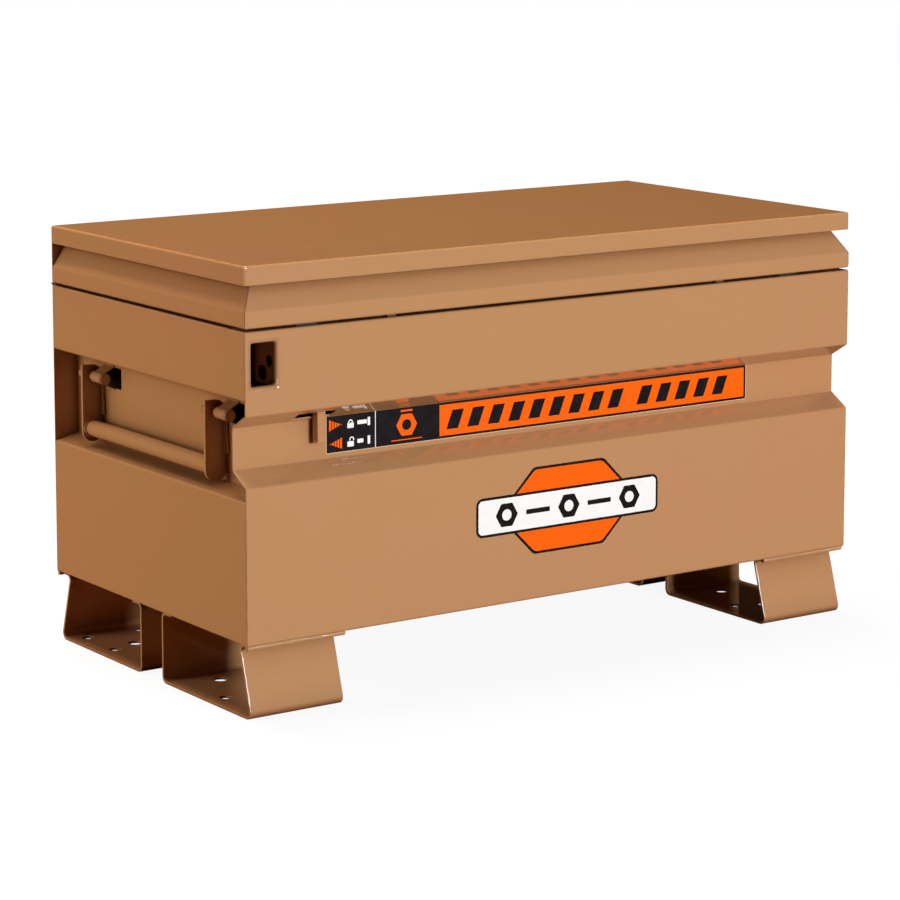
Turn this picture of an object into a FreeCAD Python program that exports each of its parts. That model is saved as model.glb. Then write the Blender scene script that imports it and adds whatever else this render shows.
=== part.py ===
"""Jobsite storage box: a welded sheet-steel chest with a hinged lid, a sliding latch and drop handles.

Millimetres.  X runs along the box, left end negative; Y runs from the front face to the hinge at
the back; Z is up.  The origin is on the floor, under the middle of the box.
"""
import FreeCAD
import Part
import math
import os

import Sketcher

DRIVING_DIMENSIONS = {
    # the whole box
    "box_width": 914.0,
    "box_depth": 466.0,
    "box_height": 530.5,
    "hinge_radius": 4.0,
    "sheet": 1.6,
    "bend_inside": 1.4,
    "groove_depth": 29.0,
    "lid_step": 18.0,
    # levels above the floor
    "foot_height": 88.0,
    "groove_foot": 273.5,
    "groove_floor_low": 291.0,
    "groove_floor_high": 340.0,
    "groove_head": 357.0,
    "body_top": 455.0,
    "lid_gap": 3.0,
    "lid_band": 20.0,
    "lid_edge": 22.5,
    # turned edges
    "rim_width": 33.0,
    "rim_lip": 11.0,
    "flange": 22.0,
    # recess for the handle in each end
    "recess_depth": 32.0,
    "recess_foot": 257.5,
    "recess_rise": 8.0,
    "recess_head": 374.0,
    # drop handles
    "handle_spacing": 300.0,
    "handle_middle": 11.0,
    "arm_width": 28.0,
    "arm_thickness": 4.0,
    "arm_reach": 66.0,
    "arm_tail": 3.0,
    "arm_lip": 7.0,
    "pivot_inset": 17.2,
    "pivot_level": 348.0,
    "pivot_radius": 5.5,
    "pivot_rear": 22.0,
    "pivot_front": 34.0,
    "pivot_head": 2.0,
    "grip_radius": 10.6,
    "grip_wall": 2.3,
    "keeper_gap": 0.4,
    "keeper_width": 23.0,
    "keeper_sheet": 1.5,
    "keeper_flare": 14.5,
    "keeper_start": 8.0,
    "window_lead": 16.0,
    "window_lap": 3.0,
    # feet
    "foot_sheet": 3.0,
    "foot_width": 127.0,
    "foot_inset": 5.0,
    "foot_gap": 50.0,
    "foot_slope": 25.0,
    "foot_bend": 6.0,
    "bolt_hole": 7.0,
    "bolt_across": 73.5,
    "bolt_along": 70.0,
    "bolt_edge_x": 23.0,
    "bolt_edge_y": 28.0,
    "lift_hole": 9.0,
    "lift_offset": 4.0,
    "lift_outer": 85.0,
    "lift_inner": 171.0,
    # lock pocket
    "pocket_inset": 5.3,
    "pocket_width": 40.1,
    "pocket_floor": 386.7,
    "pocket_head": 444.6,
    "pocket_corner": 4.0,
    "pocket_depth": 58.0,
    "pocket_return": 6.0,
    "plate": 3.0,
    "shackle_hole": 6.6,
    "lifting_hole": 9.2,
    # sliding latch
    "latch_travel_right": 12.0,
    "latch_travel_left": 20.0,
    "bar_thickness": 5.0,
    "bar_setback": 18.0,
    "bar_foot": 361.0,
    "bar_head": 382.5,
    "bar_right": 300.0,
    "hook_spacing": 250.0,
    "hook_width": 12.0,
    "hook_head": 25.0,
    "slot_left": 77.5,
    "slot_right": 130.0,
    "lever_left": 104.8,
    "lever_size": 11.0,
    "lever_drop": 313.6,
    "lever_round": 2.0,
    # hinge
    "pin_radius": 2.0,
    "leaf_sheet": 1.5,
    "leaf_reach": 26.0,
    "hinge_end": 4.0,
    # lid stay
    "stay_radius": 180.0,
    "stay_rise": 14.0,
    "stay_fall": 98.0,
    "stay_width": 22.0,
    "stay_sheet": 3.0,
    "stay_inset": 38.0,
    "stud_radius": 4.0,
    "stay_slot": 4.5,
    "lid_opening": 100.0,
}


class Size(float):
    """A length in millimetres that keeps the sheet formula it was worked out from."""

    def __new__(cls, value, formula):
        size = super().__new__(cls, value)
        size.formula = formula
        return size

    def __add__(self, other):
        return Size(float(self) + other, f"({self.formula} + {formula(other)})")

    def __radd__(self, other):
        return Size(other + float(self), f"({formula(other)} + {self.formula})")

    def __sub__(self, other):
        return Size(float(self) - other, f"({self.formula} - {formula(other)})")

    def __rsub__(self, other):
        return Size(other - float(self), f"({formula(other)} - {self.formula})")

    def __mul__(self, other):
        return Size(float(self) * other, f"({self.formula} * {formula(other)})")

    __rmul__ = __mul__

    def __truediv__(self, other):
        return Size(float(self) / other, f"({self.formula} / {formula(other)})")

    def __neg__(self):
        return Size(-float(self), f"(-1 * {self.formula})")


def formula(value):
    """The sheet formula of a size, or the plain number."""
    return getattr(value, "formula", repr(float(value)))


doc = FreeCAD.newDocument("StorageBox")
sheet = doc.addObject("Spreadsheet::Sheet", "Sizes")


class Sizes:
    """Every driving dimension as an attribute, and as a named cell of the sheet."""

    def __init__(self, dimensions):
        for row, (name, value) in enumerate(dimensions.items(), start=1):
            sheet.set(f"A{row}", name)
            sheet.set(f"B{row}", str(value))
            sheet.setAlias(f"B{row}", name)
            setattr(self, name, Size(value, f"Sizes.{name}"))


size = Sizes(DRIVING_DIMENSIONS)
doc.recompute()

# Planes that many pieces share.
LEFT = -1
RIGHT = 1
half_width = size.box_width / 2
front = -(size.box_depth / 2) - size.hinge_radius
back = size.box_depth / 2 - size.hinge_radius
groove = front + size.groove_depth
inner_floor = size.foot_height + size.sheet * 2
rim_under = size.body_top - size.sheet
lid_foot = size.body_top + size.lid_gap
lid_band_head = lid_foot + size.lid_band
lid_rail_head = size.box_height - size.lid_edge
hinge_y = back + size.hinge_radius
hinge_z = size.body_top + size.lid_gap / 2
end_wall = half_width - size.recess_depth
bar_middle = front + size.bar_setback
bar_near = bar_middle - size.bar_thickness / 2
bar_far = bar_middle + size.bar_thickness / 2
tray_floor = size.pocket_floor - 3.4
tray_head = size.pocket_head + 4
tray_back = front + size.sheet + size.pocket_depth

KNUCKLES = 7
GUIDE_PLACES = {"latch_guide_left": -319.5, "latch_guide_middle": -20.0, "latch_guide_right": 250.0}

# How a sketch on each origin plane lies: its normal's direction along the third axis.
NORMAL = {"YZ": 1, "XZ": -1, "XY": 1}
AXIS = {"YZ": FreeCAD.Vector(1, 0, 0), "XZ": FreeCAD.Vector(0, 1, 0), "XY": FreeCAD.Vector(0, 0, 1)}


def bind(sketch, constraint, value):
    """Add a dimension to a sketch and tie it to the sheet."""
    index = sketch.addConstraint(constraint)
    if isinstance(value, Size):
        sketch.setExpression(f"Constraints[{index}]", value.formula)
    return index


def fix_point(sketch, geometry, end, point):
    """Dimension one point of a sketch from the origin."""
    across, up = point
    bind(sketch, Sketcher.Constraint("DistanceX", -1, 1, geometry, end, float(across)), across)
    bind(sketch, Sketcher.Constraint("DistanceY", -1, 1, geometry, end, float(up)), up)


def flat(point):
    """A sketch point as a vector."""
    return FreeCAD.Vector(float(point[0]), float(point[1]), 0)


def polygon(*points):
    """A closed outline through dimensioned points."""
    def draw(sketch):
        first = sketch.GeometryCount
        for start, end in zip(points, points[1:] + points[:1]):
            sketch.addGeometry(Part.LineSegment(flat(start), flat(end)))
        for index, point in enumerate(points):
            following = first + (index + 1) % len(points)
            sketch.addConstraint(Sketcher.Constraint("Coincident", first + index, 2, following, 1))
            fix_point(sketch, first + index, 1, point)
    return draw


def rectangle(low, high):
    """A rectangle between two opposite corners."""
    return polygon(low, (high[0], low[1]), high, (low[0], high[1]))


def circle(centre, radius):
    """A dimensioned circle."""
    def draw(sketch):
        index = sketch.addGeometry(Part.Circle(flat(centre), FreeCAD.Vector(0, 0, 1), float(radius)))
        fix_point(sketch, index, 3, centre)
        bind(sketch, Sketcher.Constraint("Radius", index, float(radius)), radius)
    return draw


def arc(centre, radius, start, sweep):
    """An arc about a centre, anticlockwise from an angle."""
    round_line = Part.Circle(flat(centre), FreeCAD.Vector(0, 0, 1), float(radius))
    return Part.ArcOfCircle(round_line, start, start + sweep)


def rounded_rectangle(low, high, radius):
    """A rectangle between two opposite corners, with round corners."""
    def draw(sketch):
        left, bottom = low[0] + radius, low[1] + radius
        right, top = high[0] - radius, high[1] - radius
        centres = ((right, top), (left, top), (left, bottom), (right, bottom))
        quarter = math.pi / 2
        first = sketch.GeometryCount
        for index, (centre, following) in enumerate(zip(centres, centres[1:] + centres[:1])):
            end = quarter * (index + 1)
            outward = FreeCAD.Vector(math.cos(end), math.sin(end), 0) * float(radius)
            sketch.addGeometry(arc(centre, radius, end - quarter, quarter))
            sketch.addGeometry(Part.LineSegment(flat(centre) + outward, flat(following) + outward))
        for index in range(8):
            sketch.addConstraint(Sketcher.Constraint("Tangent", first + index, 2, first + (index + 1) % 8, 1))
        for index, centre in enumerate(centres):
            fix_point(sketch, first + index * 2, 3, centre)
            bind(sketch, Sketcher.Constraint("Radius", first + index * 2, float(radius)), radius)
    return draw


def long_hole(start, end, radius):
    """A slot with round ends: two centres and a radius."""
    def draw(sketch):
        along = (flat(end) - flat(start)).normalize()
        side = FreeCAD.Vector(-along.y, along.x, 0) * float(radius)
        tilt = math.atan2(along.y, along.x)
        first = sketch.GeometryCount
        sketch.addGeometry(Part.LineSegment(flat(start) + side, flat(end) + side))
        sketch.addGeometry(arc(end, radius, tilt - math.pi / 2, math.pi))
        sketch.addGeometry(Part.LineSegment(flat(end) - side, flat(start) - side))
        sketch.addGeometry(arc(start, radius, tilt + math.pi / 2, math.pi))
        sketch.addConstraint(Sketcher.Constraint("Tangent", first, 2, first + 1, 2))
        sketch.addConstraint(Sketcher.Constraint("Tangent", first + 1, 1, first + 2, 1))
        sketch.addConstraint(Sketcher.Constraint("Tangent", first + 2, 2, first + 3, 2))
        sketch.addConstraint(Sketcher.Constraint("Tangent", first + 3, 1, first, 1))
        fix_point(sketch, first + 1, 3, end)
        fix_point(sketch, first + 3, 3, start)
        bind(sketch, Sketcher.Constraint("Radius", first + 1, float(radius)), radius)
    return draw


def offset_path(points, distance):
    """The path beside an open path of points, on its left, with the corners carried through."""
    flats = [flat(point) for point in points]
    sides = []
    for start, end in zip(flats, flats[1:]):
        along = (end - start).normalize()
        sides.append(FreeCAD.Vector(-along.y, along.x, 0) * distance)
    result = [flats[0] + sides[0]]
    for corner, before, after in zip(flats[1:], sides, sides[1:]):
        middle = before + after
        result.append(corner + middle * (distance * distance * 2 / middle.dot(middle)))
    result.append(flats[-1] + sides[-1])
    return result


def sheet_section(points, thickness, left):
    """The section of a bent sheet: a dimensioned path, and its other face one sheet away."""
    def draw(sketch):
        other = offset_path(points, float(thickness) * (1 if left else -1))
        legs = len(points) - 1
        for start, end in zip(points, points[1:]):
            sketch.addGeometry(Part.LineSegment(flat(start), flat(end)))
        for start, end in zip(other, other[1:]):
            sketch.addGeometry(Part.LineSegment(start, end))
        head = sketch.addGeometry(Part.LineSegment(flat(points[0]), other[0]))
        tail = sketch.addGeometry(Part.LineSegment(flat(points[-1]), other[-1]))
        for index in range(legs - 1):
            sketch.addConstraint(Sketcher.Constraint("Coincident", index, 2, index + 1, 1))
            sketch.addConstraint(Sketcher.Constraint("Coincident", legs + index, 2, legs + index + 1, 1))
        for index in range(legs):
            fix_point(sketch, index, 1, points[index])
            sketch.addConstraint(Sketcher.Constraint("Parallel", index, legs + index))
            bind(sketch, Sketcher.Constraint("Distance", legs + index, 1, index, float(thickness)), thickness)
        fix_point(sketch, legs - 1, 2, points[-1])
        for line, end, outer, inner in ((head, 1, 0, legs), (tail, 2, legs - 1, 2 * legs - 1)):
            sketch.addConstraint(Sketcher.Constraint("Coincident", line, 1, outer, end))
            sketch.addConstraint(Sketcher.Constraint("Coincident", line, 2, inner, end))
            sketch.addConstraint(Sketcher.Constraint("Perpendicular", line, outer))
    return draw


class Piece:
    """One physical piece of the box: a body that is padded, cut and rounded."""

    def __init__(self, label):
        self.body = doc.addObject("PartDesign::Body", label)
        self.body.Label = label
        self.body.AllowCompound = True
        self.steps = 0

    def sketch(self, plane, level, *drawings):
        """A sketch on one origin plane of the body, moved to a level along the third axis."""
        self.steps += 1
        role = f"{plane}_Plane"
        origin_plane = next(item for item in self.body.Origin.OriginFeatures if item.Role == role)
        sketch = self.body.newObject("Sketcher::SketchObject", f"{self.body.Label}_sketch_{self.steps}")
        sketch.AttachmentSupport = [(origin_plane, "")]
        sketch.MapMode = "FlatFace"
        offset = level * NORMAL[plane]
        sketch.AttachmentOffset = FreeCAD.Placement(FreeCAD.Vector(0, 0, float(offset)), FreeCAD.Rotation())
        if isinstance(offset, Size):
            sketch.setExpression("AttachmentOffset.Base.z", offset.formula)
        for drawing in drawings:
            drawing(sketch)
        return sketch

    def feature(self, kind, sketch, length):
        """A pad or pocket of a bound length."""
        step = self.body.newObject(f"PartDesign::{kind}", f"{self.body.Label}_{kind.lower()}_{self.steps}")
        step.Profile = sketch
        step.Length = float(length)
        if isinstance(length, Size):
            step.setExpression("Length", length.formula)
        doc.recompute()
        return step

    def pad(self, plane, start, end, *drawings):
        """Solid between two levels along the axis across the plane."""
        low, high = sorted((start, end))
        base = low if NORMAL[plane] > 0 else high
        self.feature("Pad", self.sketch(plane, base, *drawings), high - low)
        return self

    def cut(self, plane, start, end, *drawings):
        """Remove a section between two levels, and stop if nothing goes."""
        before = self.body.Shape.Volume
        low, high = sorted((start, end))
        base = high if NORMAL[plane] > 0 else low
        self.feature("Pocket", self.sketch(plane, base, *drawings), high - low)
        if self.body.Shape.Volume > before - 1e-3:
            raise ValueError(f"{self.body.Label}: cut {self.steps} removes nothing")
        return self

    def round_edges(self, radius, wanted):
        """Fillet the edges that a test picks."""
        names = [f"Edge{index}" for index, edge in enumerate(self.body.Shape.Edges, start=1) if wanted(edge)]
        if not names:
            raise ValueError(f"{self.body.Label}: no edge to round")
        self.steps += 1
        base = self.body.Tip
        fillet = self.body.newObject("PartDesign::Fillet", f"{self.body.Label}_bend_{self.steps}")
        fillet.Base = (base, names)
        fillet.Radius = float(radius)
        if isinstance(radius, Size):
            fillet.setExpression("Radius", radius.formula)
        self.body.Tip = fillet
        doc.recompute()
        return self

    def bent_sheet(self, plane, start, end, points, thickness, inside, left=True):
        """A folded sheet: its section's path, padded between two levels, with every bend rounded."""
        self.pad(plane, start, end, sheet_section(points, thickness, left))
        other = offset_path(points, float(thickness) * (1 if left else -1))
        outside_corners = []
        inside_corners = []
        flats = [flat(point) for point in points]
        for index in range(1, len(flats) - 1):
            turn = (flats[index] - flats[index - 1]).cross(flats[index + 1] - flats[index]).z
            toward_other = (turn > 0) == left
            outside_corners.append(flats[index] if toward_other else other[index])
            inside_corners.append(other[index] if toward_other else flats[index])
        if outside_corners:
            self.round_edges(inside + thickness, along_axis_at(plane, outside_corners))
            self.round_edges(inside, along_axis_at(plane, inside_corners))
        return self


def place(plane, point):
    """A sketch point on a plane as a point in space, with its third coordinate nought."""
    across, up = float(point[0]), float(point[1])
    return {
        "YZ": FreeCAD.Vector(0, across, up),
        "XZ": FreeCAD.Vector(across, 0, up),
        "XY": FreeCAD.Vector(across, up, 0),
    }[plane]


def along_axis_at(plane, points, nearness=0.05):
    """A test for straight edges across a plane that pass through one of its points."""
    axis = AXIS[plane]
    targets = [place(plane, point) for point in points]

    def wanted(edge):
        if edge.Degenerated or edge.Curve.TypeId != "Part::GeomLine":
            return False
        along = (edge.lastVertex().Point - edge.firstVertex().Point).normalize()
        if abs(along.dot(axis)) < 0.999:
            return False
        middle = edge.CenterOfMass
        middle = middle - axis * middle.dot(axis)
        return any((middle - target).Length < nearness for target in targets)
    return wanted


def any_of(*tests):
    """A test that passes what any of several tests pass."""
    return lambda edge: any(test(edge) for test in tests)


def make_front_panel():
    """Full-width front: bottom flange, groove with sloped flanks, rim with a turned lip, and its openings."""
    path = [
        (front + size.flange, size.foot_height),
        (front, size.foot_height),
        (front, size.groove_foot),
        (groove, size.groove_floor_low),
        (groove, size.groove_floor_high),
        (front, size.groove_head),
        (front, size.body_top),
        (front + size.rim_width, size.body_top),
        (front + size.rim_width, size.body_top - size.rim_lip),
    ]
    panel = Piece("front_panel")
    panel.bent_sheet("YZ", -half_width, half_width, path, size.sheet, size.bend_inside, left=False)
    lip_ends = {LEFT: lock_plate_left() + size.plate + 1, RIGHT: half_width - size.rim_width}
    for side in (LEFT, RIGHT):
        panel.cut("YZ", half_width * side, lip_ends[side], rectangle(
            (front + size.rim_width - size.sheet * 2, size.body_top - size.rim_lip - 1),
            (front + size.rim_width + 1, rim_under)))
        panel.cut("YZ", half_width * side, (half_width - size.sheet) * side, rectangle(
            (front + size.sheet, size.foot_height - 1), (front + size.flange + 1, inner_floor)))
    open_pocket(panel)
    slot_clear = size.lever_size / 2 + 2
    panel.cut("XY", size.groove_floor_high, size.groove_head + size.sheet * 2, rectangle(
        (size.slot_left - half_width, bar_middle - slot_clear),
        (size.slot_right - half_width, bar_middle + slot_clear)))
    for side in (LEFT, RIGHT):
        low, high = strike_span(side)
        panel.cut("XY", rim_under - 1, size.body_top + 1, rectangle(
            (low - 4, bar_middle - 9), (high + 4, bar_middle + 6)))


def open_pocket(panel):
    """Cut the lock opening and give it an inward collar one sheet thick."""
    low = (-half_width + size.pocket_inset, size.pocket_floor)
    high = (low[0] + size.pocket_width, size.pocket_head)
    collar_foot = front + size.sheet
    opening = rounded_rectangle(low, high, size.pocket_corner)
    collar = rounded_rectangle(
        (low[0] - size.sheet, low[1] - size.sheet), (high[0] + size.sheet, high[1] + size.sheet),
        size.pocket_corner + size.sheet)
    panel.cut("XZ", front - 1, collar_foot + 1, opening)
    panel.pad("XZ", collar_foot, collar_foot + size.pocket_return, opening, collar)


def make_back_panel():
    """Flat back between a bottom flange and the rim."""
    path = [
        (back - size.flange, size.foot_height),
        (back, size.foot_height),
        (back, size.body_top),
        (back - size.rim_width, size.body_top),
        (back - size.rim_width, size.body_top - size.rim_lip),
    ]
    panel = Piece("back_panel")
    panel.bent_sheet("YZ", -half_width, half_width, path, size.sheet, size.bend_inside)
    for side in (LEFT, RIGHT):
        panel.cut("YZ", half_width * side, (half_width - size.rim_width) * side, rectangle(
            (back - size.rim_width - 1, size.body_top - size.rim_lip - 1),
            (back - size.rim_width + size.sheet * 2, rim_under)))
        panel.cut("YZ", half_width * side, (half_width - size.sheet) * side, rectangle(
            (back - size.flange - 1, size.foot_height - 1), (back - size.sheet, inner_floor)))


def make_end_panel(name, side):
    """End wall with a full-depth recess and two windows, let in between the front and back panels."""
    outer = half_width * side
    wall = end_wall * side
    path = [
        (outer, size.foot_height + size.sheet),
        (outer, size.recess_foot),
        (wall, size.recess_foot + size.recess_rise),
        (wall, size.recess_head),
        (outer, size.recess_head),
        (outer, rim_under),
    ]
    panel = Piece(name)
    panel.bent_sheet("XZ", front + size.sheet, back - size.sheet, path, size.sheet, size.bend_inside,
                     left=side > 0)
    lining = size.sheet * 1.2
    panel.cut("YZ", outer + side, wall - size.groove_depth * side, polygon(
        (front, size.groove_foot - size.sheet), (groove + size.sheet, size.groove_floor_low - lining),
        (groove + size.sheet, size.groove_floor_high + lining), (front, size.groove_head + size.sheet)))
    half_window = size.keeper_flare - size.keeper_sheet
    for middle in keeper_levels():
        panel.cut("YZ", wall + side, wall - size.sheet * 2 * side, rectangle(
            (middle - size.keeper_width / 2 - size.window_lead, size.pivot_level - half_window),
            (middle + size.keeper_width / 2 - size.window_lap, size.pivot_level + half_window)))


def make_rim(name, side):
    """Rim angle along one end, between the rims of the front and back panels."""
    inner = (half_width - size.rim_width) * side
    path = [(half_width * side, size.body_top), (inner, size.body_top), (inner, size.body_top - size.rim_lip)]
    rim = Piece(name)
    rim.bent_sheet("XZ", front + size.rim_width, back - size.rim_width, path, size.sheet, size.bend_inside,
                   left=side > 0)
    if side == LEFT:
        rim.cut("XZ", front + size.rim_width - 1, front + size.sheet * 2 + size.pocket_depth, rectangle(
            (inner - size.sheet * 2, size.body_top - size.rim_lip - 1), (inner + 1, rim_under)))


def make_floor():
    """Floor plate lying on the bottom flanges."""
    inner = half_width - size.sheet
    bend = size.sheet + size.bend_inside
    floor = Piece("floor_panel")
    floor.pad("XY", size.foot_height + size.sheet, inner_floor, rectangle(
        (-inner, front + bend), (inner, back - bend)))


def make_foot(name, side, end):
    """Wide bent foot: sloped outer wall, bolt flange on the floor, upright inner wall."""
    middle = (front + back) / 2
    outer = front if end == "front" else back
    inward = 1 if end == "front" else -1
    inner = middle - size.foot_gap / 2 * inward
    path = [
        (outer + 2 * inward, size.foot_height - size.foot_sheet),
        (outer + size.foot_slope * inward, size.foot_height - size.foot_sheet),
        (outer, 0),
        (inner, 0),
        (inner, size.foot_height),
        (inner - size.flange * inward, size.foot_height),
    ]
    start = (half_width - size.foot_inset) * side
    foot = Piece(name)
    foot.bent_sheet("YZ", start, start - size.foot_width * side, path, size.foot_sheet, size.foot_bend,
                    left=end == "front")
    holes = []
    for column in (0, 1):
        for row in (0, 1):
            x = start - (size.bolt_edge_x + size.bolt_across * column) * side
            y = outer + (size.bolt_edge_y + size.bolt_along * row) * inward
            holes.append(circle((x, y), size.bolt_hole))
    lift_x = start - (size.foot_width / 2 - size.lift_offset) * side
    for reach in (size.lift_outer, size.lift_inner):
        holes.append(circle((lift_x, outer + reach * inward), size.lift_hole))
    foot.cut("XY", -1, size.foot_sheet + 1, *holes)


def make_lock_pocket():
    """Tray behind the lock opening: floor, back and top, with a slot for the neck of the latch."""
    left = -half_width + size.sheet * 1.25
    right = lock_plate_left()
    tray = Piece("lock_pocket")
    path = [
        (front + size.sheet, tray_floor),
        (tray_back, tray_floor),
        (tray_back, tray_head),
        (front + size.sheet, tray_head),
    ]
    tray.bent_sheet("YZ", left, right, path, size.sheet, size.bend_inside)
    tray.cut("XY", tray_floor - 1, tray_floor + size.sheet + 1, rectangle(
        (latch_flange_left() - size.latch_travel_left - 2, bar_near - 1), (right + 1, bar_far + 1)))


def lock_plate_left():
    """Left face of the fixed lock plate."""
    opening_right = -half_width + size.pocket_inset + size.pocket_width
    return opening_right + size.latch_travel_right + 1.4


def latch_flange_left():
    """Left face of the latch's holed flange at rest."""
    return lock_plate_left() - size.latch_travel_right - size.plate - 0.3


def shackle_holes():
    """The two shackle holes, seen along the box: small one above and in front of the large one."""
    return (circle((front + 19.3, size.pocket_floor + 28.9), size.shackle_hole),
            circle((front + 34.0, size.pocket_floor + 13.5), size.lifting_hole))


def make_lock_plate():
    """Thick fixed plate that closes the right side of the pocket, with the shackle holes."""
    left = lock_plate_left()
    plate = Piece("lock_plate")
    plate.pad("YZ", left, left + size.plate, rectangle(
        (front + size.sheet, tray_floor), (tray_back, tray_head)))
    plate.cut("YZ", left - 1, left + size.plate + 1, *shackle_holes())


def make_latch_bar():
    """Sliding bar, narrowed to a strip where it passes over the recess and under the lock pocket."""
    flange = latch_flange_left()
    shoulder = lock_plate_left() + size.plate + 2
    strip_foot = size.recess_head + size.sheet + 1.2
    bar = Piece("latch_bar")
    bar.pad("XZ", bar_near, bar_far, polygon(
        (flange, strip_foot), (shoulder, strip_foot), (shoulder, size.bar_foot),
        (size.bar_right, size.bar_foot), (size.bar_right, size.bar_head), (flange, size.bar_head)))


def make_latch_flange():
    """Holed flange on a neck at the left end of the latch bar; it slides inside the lock pocket."""
    left = latch_flange_left()
    foot = size.pocket_floor + 1
    head = size.pocket_head - 2
    nose = front + size.sheet + size.pocket_return + 1
    tail = tray_back - 8
    flange = Piece("latch_flange")
    flange.pad("YZ", left, left + size.plate, polygon(
        (bar_near, size.bar_head), (bar_far, size.bar_head), (bar_far, foot), (tail, foot),
        (tail, head), (nose, head), (nose, foot), (bar_near, foot)))
    flange.cut("YZ", left - 1, left + size.plate + 1, *shackle_holes())


def make_latch_hook(name, side):
    """Hook that stands on the latch bar, left of its strike and open to the right below its head."""
    left = size.hook_spacing * side - 40
    neck_right = left + size.hook_width
    head_foot = size.body_top - 33
    head = size.body_top - 21
    hook = Piece(name)
    hook.pad("XZ", bar_near, bar_far, polygon(
        (left, size.bar_head), (neck_right, size.bar_head), (neck_right, head_foot),
        (left + size.hook_head, head_foot), (left + size.hook_head, head), (left, head)))


def make_latch_lever():
    """Square thumb lever that hangs from the bar through the slot in the groove's upper flank."""
    left = size.lever_left - half_width
    right = left + size.lever_size
    half = size.lever_size / 2
    lever = Piece("latch_lever")
    lever.pad("XZ", bar_middle - half, bar_middle + half, rectangle(
        (left, size.lever_drop), (right, size.bar_foot)))
    lever.round_edges(size.lever_round, along_axis_at(
        "XZ", [(left, size.lever_drop), (right, size.lever_drop)]))


def make_latch_guide(name, x):
    """Keeper bent round the bar and welded to the inside of the front panel."""
    clear = 0.4
    half_length = 7.0
    path = [
        (front + size.sheet, size.bar_head + clear),
        (bar_far + clear, size.bar_head + clear),
        (bar_far + clear, size.bar_foot - clear),
        (bar_near - clear - size.sheet * 2, size.bar_foot - clear),
    ]
    guide = Piece(name)
    guide.bent_sheet("YZ", x - half_length, x + half_length, path, size.sheet, 0.3)


def knuckle_spans():
    """Start and end of each knuckle along the hinge, left to right."""
    gap = 0.3
    start = -half_width + size.hinge_end
    length = (size.box_width - size.hinge_end * 2) / KNUCKLES
    return [(start + length * index + gap, start + length * (index + 1) - gap) for index in range(KNUCKLES)]


def make_hinge_leaf(name, knuckles, upward):
    """One leaf of the full-width hinge: a strip on the back face and its share of the knuckles."""
    near = hinge_z + (size.hinge_radius + 0.6) * upward
    far = near + size.leaf_reach * upward
    root = hinge_z + upward
    leaf_face = back + size.leaf_sheet
    leaf = Piece(name)
    leaf.pad("YZ", -half_width + size.hinge_end, half_width - size.hinge_end, rectangle(
        (back, min(near, far)), (leaf_face, max(near, far))))
    for low, high in knuckles:
        leaf.pad("YZ", low, high, circle((hinge_y, hinge_z), size.hinge_radius))
        leaf.pad("YZ", low, high, rectangle(
            (back + 0.2, min(near, root)), (leaf_face, max(near, root) + 0.4)))
    leaf.cut("YZ", -half_width, half_width, circle((hinge_y, hinge_z), size.pin_radius + 0.05))


def make_hinge():
    """Two leaves with interleaved knuckles, and the pin through all of them."""
    spans = knuckle_spans()
    make_hinge_leaf("hinge_body_leaf", spans[0::2], -1)
    make_hinge_leaf("hinge_lid_leaf", spans[1::2], 1)
    pin = Piece("hinge_pin")
    pin.pad("YZ", -half_width + size.hinge_end / 2, half_width - size.hinge_end / 2,
            circle((hinge_y, hinge_z), size.pin_radius))


def make_lid_top():
    """Top sheet: a shallow pan with its front and ends turned down and a longer leg down to the hinge."""
    wall = half_width - size.sheet
    under = size.box_height - size.sheet
    top = Piece("lid_top")
    top.pad("XY", lid_rail_head, size.box_height, rectangle((-half_width, front), (half_width, back)))
    top.round_edges(size.sheet + size.bend_inside, any_of(
        along_axis_at("YZ", [(front, size.box_height), (back, size.box_height)]),
        along_axis_at("XZ", [(-half_width, size.box_height), (half_width, size.box_height)]),
        along_axis_at("XY", [(-half_width, front), (half_width, front)])))
    top.cut("XY", lid_rail_head - 1, under, rectangle((-wall, front + size.sheet), (wall, back - size.sheet)))
    top.round_edges(size.bend_inside, any_of(
        along_axis_at("YZ", [(front + size.sheet, under), (back - size.sheet, under)]),
        along_axis_at("XZ", [(-wall, under), (wall, under)]),
        along_axis_at("XY", [(-wall, front + size.sheet), (wall, front + size.sheet)])))
    top.pad("XZ", back - size.sheet, back, rectangle((-half_width, lid_foot + 2), (half_width, lid_rail_head)))


def rail_path(outer, inward):
    """Section of a lid rail: lower flange, band, slope inward and upper flange under the top sheet."""
    return [
        (outer + size.rim_width * inward, lid_foot),
        (outer, lid_foot),
        (outer, lid_band_head),
        (outer + size.lid_step * inward, lid_rail_head),
        (outer + size.sheet * inward, lid_rail_head),
    ]


def mitre(rail, side, keep_front):
    """Cut the front corner of a lid rail at 45 degrees, keeping the front's or the end's share."""
    overrun = 2.0
    reach = 60.0
    outside = ((half_width + overrun) * side, front - overrun)
    inside = ((half_width - reach) * side, front + reach)
    waste = (outside[0], inside[1]) if keep_front else (inside[0], outside[1])
    rail.cut("XY", size.body_top, size.box_height, polygon(outside, inside, waste))


def make_lid_rails():
    """Grooved rails of the front and both ends, mitred at the front corners."""
    rail = Piece("lid_front_rail")
    rail.bent_sheet("YZ", -half_width, half_width, rail_path(front, 1), size.sheet, size.bend_inside,
                    left=False)
    for side in (LEFT, RIGHT):
        mitre(rail, side, keep_front=True)
    for name, side in (("lid_left_rail", LEFT), ("lid_right_rail", RIGHT)):
        end_rail = Piece(name)
        end_rail.bent_sheet("XZ", front, back - size.sheet, rail_path(half_width * side, -side),
                            size.sheet, size.bend_inside, left=side > 0)
        mitre(end_rail, side, keep_front=False)


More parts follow.
